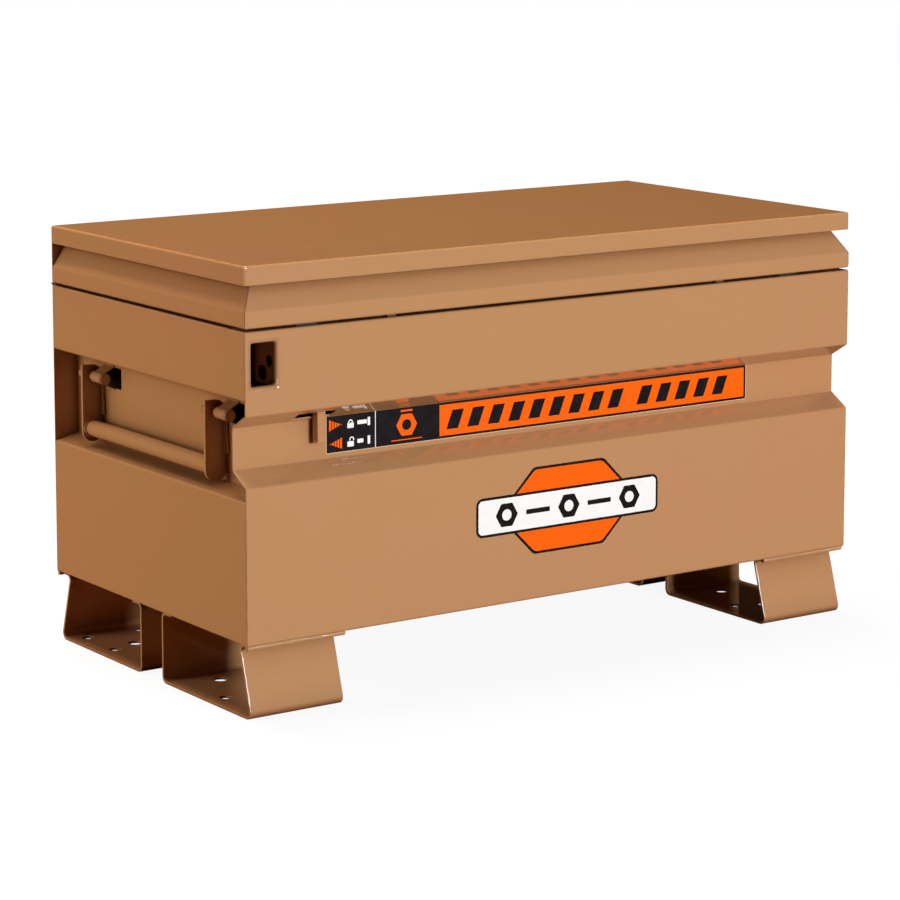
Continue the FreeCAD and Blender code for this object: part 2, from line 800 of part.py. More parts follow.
def make_lid_stiffener():
    """Hat channel under the top sheet, from end to end."""
    brim = 14.0
    half = 30.0
    slope = 8.0
    depth = 18.0
    under = size.box_height - size.sheet
    middle = (front + back) / 2
    reach = half_width - size.lid_step - 6
    stiffener = Piece("lid_stiffener")
    stiffener.bent_sheet("YZ", -reach, reach, [
        (middle - half - brim, under), (middle - half, under), (middle - half + slope, under - depth),
        (middle + half - slope, under - depth), (middle + half, under), (middle + half + brim, under)],
        size.sheet, size.bend_inside, left=False)


def strike_span(side):
    """Left and right ends of a strike, toe included."""
    return size.hook_spacing * side - 12, size.hook_spacing * side + 10


def make_strike(name, side):
    """Plate that hangs from the lid's front rail through the rim, with a toe for the hook to catch."""
    left, right = strike_span(side)
    post_left = right - 12
    foot = size.body_top - 47
    toe_head = foot + 8
    half = size.bar_thickness / 2 - 0.5
    strike = Piece(name)
    strike.pad("XZ", bar_middle - half, bar_middle + half, polygon(
        (left, foot), (right, foot), (right, lid_foot), (post_left, lid_foot),
        (post_left, toe_head), (left, toe_head)))


def make_lid_bumpers():
    """Four rubber pads on the rim that the lid lands on."""
    half_length = 14.0
    half = 6.0
    on_rim = size.rim_width * 0.6
    outlines = []
    for side in (LEFT, RIGHT):
        x = half_width * side * 0.8
        for y in (front + on_rim, back - on_rim):
            outlines.append(rectangle((x - half_length, y - half), (x + half_length, y + half)))
    pads = Piece("lid_bumpers")
    pads.pad("XY", size.body_top, lid_foot, *outlines)


def stay_points():
    """The stay's pin on the lid and its stud on the end wall, as (y, z): both at one hinge radius."""
    radius = size.stay_radius
    pin_y = hinge_y - math.sqrt(radius ** 2 - size.stay_rise ** 2)
    stud_y = hinge_y - math.sqrt(radius ** 2 - size.stay_fall ** 2)
    return (pin_y, hinge_z + size.stay_rise), (stud_y, hinge_z - size.stay_fall)


def stay_slot_ends():
    """Distance from the stay's pin to its stud with the lid shut and with it open."""
    radius = float(size.stay_radius)
    shut = math.asin(float(size.stay_fall) / radius) + math.asin(float(size.stay_rise) / radius)
    opened = shut + math.radians(float(size.lid_opening))
    return 2 * radius * math.sin(shut / 2), 2 * radius * math.sin(opened / 2)


def make_headed_pin(name, start, end, centre):
    """Pin of the stay: a shank between two levels along X, with a head over its left end."""
    head_start = start - 1.7
    pin = Piece(name)
    pin.pad("YZ", start, end, circle(centre, size.stud_radius))
    pin.pad("YZ", head_start, head_start + 3.7, circle(centre, size.stud_radius + 3))


def make_stay():
    """Slotted stay arm, its bracket and pin on the lid, and its headed stud on the end wall."""
    pin, stud = stay_points()
    far = half_width - size.stay_inset
    near = far - size.stay_sheet
    along = (flat(stud) - flat(pin)).normalize()

    def on_arm(distance):
        """A point of the arm's middle line, at a distance from its pin."""
        return (pin[0] + along.x * distance, pin[1] + along.y * distance)

    slot_start, slot_end = stay_slot_ends()
    arm = Piece("stay_arm")
    arm.pad("YZ", near, far, long_hole(on_arm(0), on_arm(slot_end + 8), size.stay_width / 2))
    arm.cut("YZ", near - 1, far + 1, long_hole(on_arm(slot_start - 1), on_arm(slot_end + 1), size.stay_slot))
    arm.cut("YZ", near - 1, far + 1, circle(pin, size.stud_radius + 0.05))

    lip = half_width - size.rim_width
    half_bracket = 16.0
    bracket_foot = 14.0
    bracket = Piece("stay_bracket")
    bracket.pad("YZ", lip - size.plate, lip, rectangle(
        (pin[0] - half_bracket, lid_foot + 0.5), (pin[0] + half_bracket, pin[1] + 12)))
    bracket.pad("YZ", lip, lip + bracket_foot, rectangle(
        (pin[0] - half_bracket, lid_foot + size.sheet),
        (pin[0] + half_bracket, lid_foot + size.sheet + size.plate)))

    head_clear = 2.3
    make_headed_pin("stay_pin", near - head_clear, lip - size.plate, pin)
    make_headed_pin("stay_stud", near - head_clear, end_wall - size.sheet, stud)


def arm_planes():
    """Rear face of each handle arm along Y, front arm first."""
    half = size.handle_spacing / 2
    return [size.handle_middle + way * half + size.arm_thickness / 2 for way in (-1, 1)]


def keeper_levels():
    """Middle of each pivot keeper along Y, front keeper first."""
    return [rear - size.arm_thickness - size.keeper_start - size.keeper_width / 2 for rear in arm_planes()]


def make_handle_arm(name, side, rear):
    """Flat arm, square at its outer top corner, with a tapered stiffening lip on its inner edge."""
    x = (half_width - size.pivot_inset) * side
    z = size.pivot_level
    half = size.arm_width / 2
    fore = rear - size.arm_thickness
    inner_edge = x - half * side
    lip_sheet = 2.5
    lip_head = z - 8.5
    lip_foot = z - 50.0
    arm = Piece(name)
    arm.pad("XZ", fore, rear, long_hole((x, z - size.arm_reach - size.arm_tail), (x, z), half))
    arm.pad("XZ", fore, rear, rectangle((x, z), (x + half * side, z + half)))
    arm.pad("YZ", inner_edge, inner_edge + lip_sheet * side, polygon(
        (fore, lip_head), (fore - size.arm_lip * 0.6, lip_head),
        (fore - size.arm_lip, lip_foot), (fore, lip_foot)))
    arm.cut("XZ", fore - 1, rear + 1, circle((x, z), size.pivot_radius))


def make_handle(name, side):
    """Drop handle of one end: two arms, a tube between them, and a pivot rod through each arm."""
    x = (half_width - size.pivot_inset) * side
    z = size.pivot_level
    front_rear, back_rear = arm_planes()
    make_handle_arm(f"{name}_front_arm", side, front_rear)
    make_handle_arm(f"{name}_rear_arm", side, back_rear)

    axis = (x, z - size.arm_reach)
    grip = Piece(f"{name}_grip")
    grip.pad("XZ", front_rear, back_rear - size.arm_thickness, circle(axis, size.grip_radius))
    grip.cut("XZ", front_rear - 1, back_rear, circle(axis, size.grip_radius - size.grip_wall))

    pivots = Piece(f"{name}_pivots")
    for rear in (front_rear, back_rear):
        fore = rear - size.arm_thickness - size.pivot_front
        pivots.pad("XZ", fore, rear + size.pivot_rear, circle((x, z), size.pivot_radius))
        pivots.pad("XZ", fore, fore + size.pivot_head, circle((x, z), size.pivot_radius + 1.7))


def make_keepers(name, side):
    """Half-round straps that hold the pivot rods against one end's recess wall."""
    x = (half_width - size.pivot_inset) * side
    wall = end_wall * side
    z = size.pivot_level
    inner = size.pivot_radius + size.keeper_gap
    outer = inner + size.keeper_sheet
    inner_flare = size.keeper_flare - size.keeper_sheet
    keepers = Piece(name)
    for middle in keeper_levels():
        low = middle - size.keeper_width / 2
        high = middle + size.keeper_width / 2
        keepers.pad("XZ", low, high, circle((x, z), outer))
        keepers.pad("XZ", low, high, polygon(
            (x, z - outer), (x, z + outer), (wall, z + size.keeper_flare), (wall, z - size.keeper_flare)))
        keepers.cut("XZ", low - 0.1, high + 0.1, circle((x, z), inner))
        keepers.cut("XZ", low - 0.1, high + 0.1, polygon(
            (x, z - inner), (x, z + inner),
            (wall - side, z + inner_flare), (wall - side, z - inner_flare)))


def make_box():
    """Every piece, from the floor up."""
    make_front_panel()
    make_back_panel()
    make_floor()
    for name, side in (("left", LEFT), ("right", RIGHT)):
        make_end_panel(f"{name}_end_panel", side)
        make_rim(f"{name}_rim", side)
        make_foot(f"{name}_front_foot", side, "front")
        make_foot(f"{name}_rear_foot", side, "rear")
        make_handle(f"{name}_handle", side)
        make_keepers(f"{name}_handle_keepers", side)
        make_strike(f"{name}_strike", side)
        make_latch_hook(f"latch_{name}_hook", side)
    make_lock_pocket()
    make_lock_plate()
    make_latch_bar()
    make_latch_flange()
    make_latch_lever()
    for name, x in GUIDE_PLACES.items():
        make_latch_guide(name, x)
    make_hinge()
    make_lid_top()
    make_lid_rails()
    make_lid_stiffener()
    make_lid_bumpers()
    make_stay()


def write_parts():
    """Check every object, then write each piece to its own file."""
    doc.recompute()
    failed = [item.Name for item in doc.Objects if {"Invalid", "Error"} & set(item.State)]
    if failed:
        raise ValueError(f"failed objects: {failed}")
    pieces = [item for item in doc.Objects if item.TypeId == "PartDesign::Body"]
    for piece in pieces:
        if piece.Shape.isNull() or not piece.Shape.isValid():
            raise ValueError(f"bad shape: {piece.Label}")
    os.makedirs("parts", exist_ok=True)
    for piece in pieces:
        piece.Shape.exportStep(f"parts/{piece.Label}.step")
    print(f"{len(pieces)} pieces written")


make_box()
write_parts()
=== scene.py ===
"""Looks of a jobsite storage box: paint, prints, welds and studio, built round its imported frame."""
import logging
import math
from collections.abc import Callable
from dataclasses import dataclass
from enum import Enum

import bmesh
import bpy
from mathutils import Matrix, Vector


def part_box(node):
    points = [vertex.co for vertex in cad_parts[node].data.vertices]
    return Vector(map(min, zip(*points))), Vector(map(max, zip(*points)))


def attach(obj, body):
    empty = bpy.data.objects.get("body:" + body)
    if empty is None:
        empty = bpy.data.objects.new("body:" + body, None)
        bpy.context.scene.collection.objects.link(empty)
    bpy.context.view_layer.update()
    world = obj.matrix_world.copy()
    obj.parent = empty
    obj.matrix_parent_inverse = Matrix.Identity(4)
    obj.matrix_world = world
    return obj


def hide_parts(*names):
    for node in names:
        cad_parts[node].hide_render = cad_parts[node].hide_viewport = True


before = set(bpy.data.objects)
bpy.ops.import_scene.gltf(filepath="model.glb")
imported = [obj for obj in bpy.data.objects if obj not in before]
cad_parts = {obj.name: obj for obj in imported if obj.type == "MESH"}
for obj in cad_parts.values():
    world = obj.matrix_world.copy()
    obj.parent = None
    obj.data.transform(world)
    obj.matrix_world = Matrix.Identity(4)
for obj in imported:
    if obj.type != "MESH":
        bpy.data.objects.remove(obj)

logging.basicConfig(level=logging.INFO, format="%(message)s")
log = logging.getLogger("storage_box")

Colour = tuple[float, float, float, float]
Triple = tuple[float, float, float]

MM = 0.001
GROOVE_DEPTH = 29.0 * MM
MERGE_DISTANCE = 1e-6
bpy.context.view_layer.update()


class Body(Enum):
    """The rigid bodies that new pieces ride on."""

    BOX = "box"
    LID = "lid"
    LEFT_HANDLE = "left_handle"
    RIGHT_HANDLE = "right_handle"


class Element(Enum):
    """The kinds of mesh element that edit mode selects."""

    CORNER = "VERT"
    EDGE = "EDGE"
    FACE = "FACE"


class Slot(Enum):
    """The record's finish that new pieces take after."""

    PAINT = "tan_paint"


def linear(value: int) -> float:
    """One channel of an 8-bit display colour, made linear."""
    share = value / 255
    return share / 12.92 if share <= 0.04045 else ((share + 0.055) / 1.055) ** 2.4


def srgb(red: int, green: int, blue: int) -> Colour:
    """Turn an 8-bit display colour into a linear one.

    Args:
        red, green, blue: the display colour, 0 to 255.

    Returns:
        The linear colour with full alpha.
    """
    return linear(red), linear(green), linear(blue), 1.0


# ---------------------------------------------------------------- finishes

class Shader:
    """A node-based material with one Principled shader."""

    def __init__(self, name: str) -> None:
        """Make the material and its shader.

        Args:
            name: the material's name.
        """
        self.material = bpy.data.materials.new(name)
        self.material.use_nodes = True
        self.tree = self.material.node_tree
        self.surface = self.tree.nodes["Principled BSDF"]
        self.place = self.tree.nodes.new("ShaderNodeTexCoord").outputs["Object"]

    def node(self, kind: str, **settings: object) -> bpy.types.Node:
        """Add a node.

        Args:
            kind: the node's type.
            settings: attributes to set on it.

        Returns:
            The new node.
        """
        node = self.tree.nodes.new(kind)
        for name, value in settings.items():
            setattr(node, name, value)
        return node

    def link(self, source: bpy.types.NodeSocket, target: bpy.types.NodeSocket) -> None:
        """Join two sockets."""
        self.tree.links.new(source, target)

    def noise(self, scale: float, detail: float = 4.0, rough: float = 0.5) -> bpy.types.NodeSocket:
        """Noise on Object coordinates.

        Args:
            scale: cells per metre.
            detail: octaves.
            rough: how strong the fine octaves are.

        Returns:
            The noise value, 0 to 1.
        """
        noise = self.node("ShaderNodeTexNoise")
        noise.inputs["Scale"].default_value = scale
        noise.inputs["Detail"].default_value = detail
        noise.inputs["Roughness"].default_value = rough
        self.link(self.place, noise.inputs["Vector"])
        return noise.outputs["Fac"]

    def spread(self, value: bpy.types.NodeSocket, low: float, high: float,
               start: float = 0.0, end: float = 1.0) -> bpy.types.NodeSocket:
        """Map a value from one range to another.

        Args:
            value: the socket to map.
            low, high: the new range.
            start, end: the old range.

        Returns:
            The mapped value.
        """
        span = self.node("ShaderNodeMapRange")
        span.inputs["From Min"].default_value = start
        span.inputs["From Max"].default_value = end
        span.inputs["To Min"].default_value = low
        span.inputs["To Max"].default_value = high
        self.link(value, span.inputs["Value"])
        return span.outputs["Result"]

    def blend(self, amount: bpy.types.NodeSocket, first: Colour | bpy.types.NodeSocket,
              second: Colour) -> bpy.types.NodeSocket:
        """Mix two colours.

        Args:
            amount: the share of the second colour.
            first: a linear colour, or a socket that gives one.
            second: a linear colour.

        Returns:
            The mixed colour.
        """
        mix = self.node("ShaderNodeMix", data_type="RGBA")
        if isinstance(first, bpy.types.NodeSocket):
            self.link(first, mix.inputs["A"])
        else:
            mix.inputs["A"].default_value = first
        mix.inputs["B"].default_value = second
        self.link(amount, mix.inputs["Factor"])
        return mix.outputs["Result"]

    def bump(self, height: bpy.types.NodeSocket, depth: float, strength: float = 1.0) -> None:
        """Add relief.

        Args:
            height: the height, 0 to 1.
            depth: how deep the relief is, in metres.
            strength: share of it that shows.
        """
        bump = self.node("ShaderNodeBump")
        bump.inputs["Distance"].default_value = depth
        bump.inputs["Strength"].default_value = strength
        self.link(height, bump.inputs["Height"])
        if self.surface.inputs["Normal"].is_linked:
            self.link(self.surface.inputs["Normal"].links[0].from_socket, bump.inputs["Normal"])
        self.link(bump.outputs["Normal"], self.surface.inputs["Normal"])


@dataclass(frozen=True)
class PowderCoat:
    """Baked tan paint: a clear gloss over orange peel, its edges paler where rubbed and as a painted
    highlight, and painted shade darkening its corners and the faces under ledges.
    """

    name: str = "tan_powder_coat"
    colour: Colour = srgb(194, 139, 88)
    drift: Colour = srgb(198, 137, 90)
    # worn_and_lit: the paler edge colour, partly rubbed wear and partly a painted highlight
    worn_and_lit: Colour = srgb(238, 198, 156)
    # shade: the colour of the painted shade in corners and under ledges
    shade: Colour = srgb(108, 58, 20)
    drift_per_metre: float = 2.2
    edge_radius: float = 0.0022
    wear_and_highlight_share: float = 0.42
    edge_patches_per_metre: float = 55.0
    corner_shade_reach: float = 0.042
    corner_shade_share: float = 0.7
    roughness: float = 0.5
    sheen_per_metre: float = 38.0
    base_ior: float = 1.46
    base_gloss: float = 0.06
    coat_roughness: float = 0.035
    coat_ior: float = 1.75
    peel_per_metre: float = 420.0
    peel_depth: float = 0.00003
    peel_strength: float = 0.55

    def make(self) -> bpy.types.Material:
        """Build the material.

        Returns:
            The finished material.
        """
        coat = Shader(self.name)
        tone = coat.spread(coat.noise(self.drift_per_metre, detail=5.0), 0.0, 1.0, start=0.35, end=0.68)
        bevel = coat.node("ShaderNodeBevel", samples=6)
        bevel.inputs["Radius"].default_value = self.edge_radius
        paint = coat.blend(tone, self.colour, self.drift)
        # Painted shade: darken the paint in corners and under ledges.
        paint = coat.blend(self.corner_shade(coat), paint, self.shade)
        # Paler edges: partly wear, partly a painted highlight.
        paint = coat.blend(self.edge_wear_and_highlight(coat, bevel), paint, self.worn_and_lit)
        coat.link(paint, coat.surface.inputs["Base Color"])
        sheen = coat.spread(coat.noise(self.sheen_per_metre, detail=6.0),
                            self.roughness - 0.04, self.roughness + 0.07, start=0.3, end=0.7)
        coat.link(sheen, coat.surface.inputs["Roughness"])
        levels = {"IOR": self.base_ior, "Specular IOR Level": self.base_gloss, "Coat Weight": 1.0,
                  "Coat IOR": self.coat_ior, "Coat Roughness": self.coat_roughness}
        for name, value in levels.items():
            coat.surface.inputs[name].default_value = value
        coat.link(bevel.outputs["Normal"], coat.surface.inputs["Normal"])
        coat.bump(coat.noise(self.peel_per_metre, detail=2.0), self.peel_depth, self.peel_strength)
        coat.link(coat.surface.inputs["Normal"].links[0].from_socket, coat.surface.inputs["Coat Normal"])
        return coat.material

    def corner_shade(self, coat: Shader) -> bpy.types.NodeSocket:
        """Painted shade: the paint darkened in tight corners and under ledges, where less light reaches.

        Args:
            coat: the material.

        Returns:
            The painted shade, 0 to 1.
        """
        corner = coat.node("ShaderNodeAmbientOcclusion", samples=4)
        corner.inputs["Distance"].default_value = self.corner_shade_reach
        return coat.spread(corner.outputs["AO"], self.corner_shade_share, 0.0, start=0.3, end=0.86)

    def edge_wear_and_highlight(self, coat: Shader, bevel: bpy.types.Node) -> bpy.types.NodeSocket:
        """Where the paint is paler along edges, broken up by noise: partly rubbed wear, partly a painted
        highlight.

        Args:
            coat: the material.
            bevel: the node whose normal turns at edges.

        Returns:
            The paleness, 0 to 1.
        """
        flat = coat.node("ShaderNodeNewGeometry").outputs["True Normal"]
        turn = coat.node("ShaderNodeVectorMath", operation="DOT_PRODUCT")
        coat.link(bevel.outputs["Normal"], turn.inputs[0])
        coat.link(flat, turn.inputs[1])
        edge = coat.spread(turn.outputs["Value"], 0.0, self.wear_and_highlight_share, start=0.985, end=0.86)
        patchy = coat.spread(coat.noise(self.edge_patches_per_metre, detail=5.0, rough=0.6), 0.15, 1.0,
                             start=0.38, end=0.66)
        worn_and_lit = coat.node("ShaderNodeMath", operation="MULTIPLY")
        coat.link(edge, worn_and_lit.inputs[0])
        coat.link(patchy, worn_and_lit.inputs[1])
        return worn_and_lit.outputs["Value"]


@dataclass(frozen=True)
class ZincSteel:
    """Plated steel of pins: grey with fine turning marks and a dull bloom."""

    colour: Colour = srgb(176, 174, 168)
    bloom: Colour = srgb(140, 137, 128)
    bloom_per_metre: float = 180.0
    marks_per_metre: float = 900.0
    marks_depth: float = 0.00004

    def make(self) -> bpy.types.Material:
        """Build the material.

        Returns:
            The finished material.
        """
        zinc = Shader("zinc_plated_steel")
        patches = zinc.spread(zinc.noise(self.bloom_per_metre, detail=6.0, rough=0.65), 0.0, 1.0,
                              start=0.35, end=0.7)
        zinc.link(zinc.blend(patches, self.colour, self.bloom), zinc.surface.inputs["Base Color"])
        zinc.link(zinc.spread(patches, 0.26, 0.5), zinc.surface.inputs["Roughness"])
        zinc.surface.inputs["Metallic"].default_value = 1.0
        zinc.bump(zinc.noise(self.marks_per_metre, detail=2.0), self.marks_depth, 0.6)
        return zinc.material


@dataclass(frozen=True)
class BumperRubber:
    """Black moulded rubber, matt and slightly grained."""

    colour: Colour = srgb(30, 29, 28)
    dusty: Colour = srgb(52, 50, 47)
    dust_per_metre: float = 240.0
    grain_per_metre: float = 1500.0
    grain_depth: float = 0.00006

    def make(self) -> bpy.types.Material:
        """Build the material.

        Returns:
            The finished material.
        """
        rubber = Shader("bumper_rubber")
        dust = rubber.spread(rubber.noise(self.dust_per_metre, detail=6.0), 0.0, 0.8, start=0.45, end=0.75)
        rubber.link(rubber.blend(dust, self.colour, self.dusty), rubber.surface.inputs["Base Color"])
        rubber.link(rubber.spread(dust, 0.6, 0.85), rubber.surface.inputs["Roughness"])
        rubber.bump(rubber.noise(self.grain_per_metre), self.grain_depth, 0.7)
        return rubber.material


@dataclass(frozen=True)
class PrintedVinyl:
    """Screen-printed vinyl film in one ink: even colour, faint mottling and a film gloss."""

    name: str
    colour: Colour
    faded: Colour
    roughness: float = 0.34
    gloss: float = 0.12
    mottle_per_metre: float = 95.0
    waves_per_metre: float = 60.0
    waves_depth: float = 0.00012

    def make(self) -> bpy.types.Material:
        """Build the material.

        Returns:
            The finished material.
        """
        film = Shader(self.name)
        mottle = film.spread(film.noise(self.mottle_per_metre, detail=5.0, rough=0.6), 0.0, 0.6,
                             start=0.4, end=0.72)
        film.link(film.blend(mottle, self.colour, self.faded), film.surface.inputs["Base Color"])
        matt = film.spread(mottle, self.roughness, self.roughness + 0.12)
        film.link(matt, film.surface.inputs["Roughness"])
        film.surface.inputs["Specular IOR Level"].default_value = self.gloss
        film.bump(film.noise(self.waves_per_metre, detail=3.0), self.waves_depth, 0.35)
        return film.material


class Finishes:
    """Every finish of the box, each made once."""

    def __init__(self) -> None:
        """Build the materials."""
        self.paint = PowderCoat().make()
        # The pocket's parts take a darker paint: painted shade deep inside the lock pocket.
        self.shade_darkened_paint = PowderCoat("shade_darkened_paint_inside_pocket", srgb(140, 70, 38), srgb(128, 60, 32),
                                     srgb(200, 150, 110)).make()
        self.zinc = ZincSteel().make()
        self.rubber = BumperRubber().make()
        self.black = PrintedVinyl("print_black", srgb(24, 18, 17), srgb(33, 27, 25)).make()
        self.orange = PrintedVinyl("print_orange", srgb(255, 98, 8), srgb(248, 93, 9)).make()
        self.white = PrintedVinyl("print_white", srgb(252, 241, 223), srgb(244, 233, 215)).make()
        self.carrier = PrintedVinyl("film_carrier", srgb(213, 175, 136), srgb(206, 165, 125)).make()


# ---------------------------------------------------------------- modelling helpers

def clear_selection() -> None:
    """Leave object mode with nothing selected."""
    if bpy.context.object and bpy.context.object.mode != "OBJECT":
        bpy.ops.object.mode_set(mode="OBJECT")
    bpy.ops.object.select_all(action="DESELECT")


def choose(piece: bpy.types.Object) -> None:
    """Select one object alone and make it active.

    Args:
        piece: the object.
    """
    clear_selection()
    piece.select_set(True)
    bpy.context.view_layer.objects.active = piece


def bake_place(piece: bpy.types.Object) -> None:
    """Move an object's place, turn and size into its mesh."""
    choose(piece)
    bpy.ops.object.transform_apply(location=True, rotation=True, scale=True)


def apply_modifier(piece: bpy.types.Object, kind: str, **settings: object) -> None:
    """Add a modifier and apply it.

    Args:
        piece: the object to change.
        kind: the modifier's type.
        settings: attributes to set on it.
    """
    choose(piece)
    modifier = piece.modifiers.new(kind.lower(), kind)
    for name, value in settings.items():
        setattr(modifier, name, value)
    bpy.ops.object.modifier_apply(modifier=modifier.name)


def repeat(piece: bpy.types.Object, count: int, pitch: float) -> None:
    """Set copies of a piece in a row along +X.

    Args:
        piece: the object, which becomes the whole row.
        count: how many there are, the first included.
        pitch: how far apart they stand.
    """
    apply_modifier(piece, "ARRAY", count=count, use_relative_offset=False, use_constant_offset=True,
                   constant_offset_displace=(pitch, 0.0, 0.0))


def make_block(middle: Triple, size: Triple) -> bpy.types.Object:
    """A block with square edges.

    Args:
        middle: its middle.
        size: its lengths along X, Y and Z.

    Returns:
        The block.
    """
    clear_selection()
    bpy.ops.mesh.primitive_cube_add(size=1.0, location=middle)
    block = bpy.context.object
    block.scale = size
    bake_place(block)
    return block


def join(pieces: list[bpy.types.Object], name: str) -> bpy.types.Object:
    """Join objects into one.

    Args:
        pieces: the objects.
        name: the joined object's name.

    Returns:
        The joined object.
    """
    clear_selection()
    for piece in pieces:
        piece.select_set(True)
    bpy.context.view_layer.objects.active = pieces[0]
    if len(pieces) > 1:
        bpy.ops.object.join()
    joined = bpy.context.view_layer.objects.active
    joined.name = name
    joined.data.name = name
    return joined


def pick(piece: bpy.types.Object, element: Element, wanted: Callable[[Vector, Vector], bool]) -> None:
    """Open a piece in edit mode with the elements that pass a test selected.

    Args:
        piece: the object.
        element: the kind of element.
        wanted: the test, given an element's middle and its normal.
    """
    choose(piece)
    bpy.ops.object.mode_set(mode="EDIT")
    bpy.ops.mesh.select_mode(type=element.value)
    bpy.ops.mesh.select_all(action="DESELECT")
    mesh = bmesh.from_edit_mesh(piece.data)
    if element is Element.CORNER:
        for corner in mesh.verts:
            corner.select = wanted(corner.co, corner.normal)
    elif element is Element.EDGE:
        for edge in mesh.edges:
            ends = edge.verts
            edge.select = wanted((ends[0].co + ends[1].co) / 2, (ends[0].normal + ends[1].normal) / 2)
    else:
        for face in mesh.faces:
            face.select = wanted(face.calc_center_median(), face.normal)
    mesh.select_flush_mode()
    bmesh.update_edit_mesh(piece.data)


def everything(middle: Vector, normal: Vector) -> bool:
    """A test that every element passes."""
    return True


def tidy_mesh(piece: bpy.types.Object) -> None:
    """Merge doubled corners and turn all faces outwards.

    Args:
        piece: the object.
    """
    pick(piece, Element.CORNER, everything)
    bpy.ops.mesh.remove_doubles(threshold=MERGE_DISTANCE)
    bpy.ops.mesh.normals_make_consistent(inside=False)
    bpy.ops.object.mode_set(mode="OBJECT")


def ease(piece: bpy.types.Object, element: Element, wanted: Callable[[Vector, Vector], bool],
         radius: float) -> None:
    """Round some edges of a piece.

    Args:
        piece: the object.
        element: the kind of element that the test picks.
        wanted: the test, given an element's middle and its normal.
        radius: how much is taken off.
    """
    pick(piece, element, wanted)
    bpy.ops.mesh.bevel(offset=radius, segments=2, affect="EDGES")
    clear_selection()


def face_front(shape: bpy.types.Object) -> None:
    """Turn all faces of a flat shape towards -Y.

    Args:
        shape: the flat shape.
    """
    pick(shape, Element.FACE, everything)
    bpy.ops.mesh.normals_make_consistent(inside=False)
    clear_selection()
    if shape.data.polygons[0].normal.y > 0:
        pick(shape, Element.FACE, everything)
        bpy.ops.mesh.flip_normals()
        clear_selection()


def turn_to(piece: bpy.types.Object, place: Vector, along: Vector, out: Vector) -> None:
    """Stand a piece made at the origin along +X, with its crown at +Z, somewhere else.

    Args:
        piece: the object.
        place: where its origin goes.
        along: where its +X points.
        out: where its +Z points.
    """
    forward = along.normalized()
    side = out.cross(forward).normalized()
    turned = Matrix((forward, side, forward.cross(side))).transposed().to_4x4()
    piece.matrix_world = Matrix.Translation(place) @ turned
    bake_place(piece)


def smooth(piece: bpy.types.Object, angle: float = 32.0) -> None:
    """Shade smoothly across edges that turn by less than an angle in degrees."""
    choose(piece)
    bpy.ops.object.shade_smooth_by_angle(angle=math.radians(angle))


def middle_of(node: str) -> Vector:
    """The middle of a frame node's box at rest."""
    low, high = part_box(node)
    return (low + high) / 2


def settle(piece: bpy.types.Object, name: str, material: bpy.types.Material, body: Body) -> bpy.types.Object:
    """Name, dress and fasten a finished piece.

    Args:
        piece: the object.
        name: its name.
        material: its finish.
        body: the body it rides on.

    Returns:
        The same object.
    """
    piece.name = name
    piece.data.name = name
    piece.data.materials.clear()
    piece.data.materials.append(material)
    bake_place(piece)
    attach(piece, body.value)
    log.info("%s: %d faces on %s", name, len(piece.data.polygons), body.value)
    return piece


def settle_beads(beads: list[bpy.types.Object], name: str, material: bpy.types.Material,
                 body: Body) -> None:
    """Join weld beads into one smooth piece and fasten it.

    Args:
        beads: the beads.
        name: the piece's name.
        material: its finish.
        body: the body it rides on.
    """
    smooth(settle(join(beads, name), name, material, body))


# ---------------------------------------------------------------- the steel box

@dataclass
class SteelWork:
    """Every sheet, bar and pin of the frame, dressed in its finish."""

    finishes: Finishes
    bare: tuple[str, ...] = ("hinge_pin", "stay_pin", "stay_stud")
    # Parts deep in the lock pocket take the darker paint that stands in for their shade.
    deep: tuple[str, ...] = ("lock_pocket", "lock_plate", "latch_flange")
    rubber: tuple[str, ...] = ("lid_bumpers",)

    def finish_of(self, node: str) -> bpy.types.Material:
        """The finish of one node.

        Args:
            node: its name.

        Returns:
            The material.
        """
        if node in self.bare:
            return self.finishes.zinc
        if node in self.deep:
            return self.finishes.shade_darkened_paint
        return self.finishes.rubber if node in self.rubber else self.finishes.paint

    def dress(self) -> None:
        """Put each node's finish in its material slots."""
        for name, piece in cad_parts.items():
            for slot in piece.material_slots:
                slot.material = self.finish_of(name)
            smooth(piece, 28.0)
        log.info("steelwork: %d nodes dressed", len(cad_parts))


# ---------------------------------------------------------------- printed films

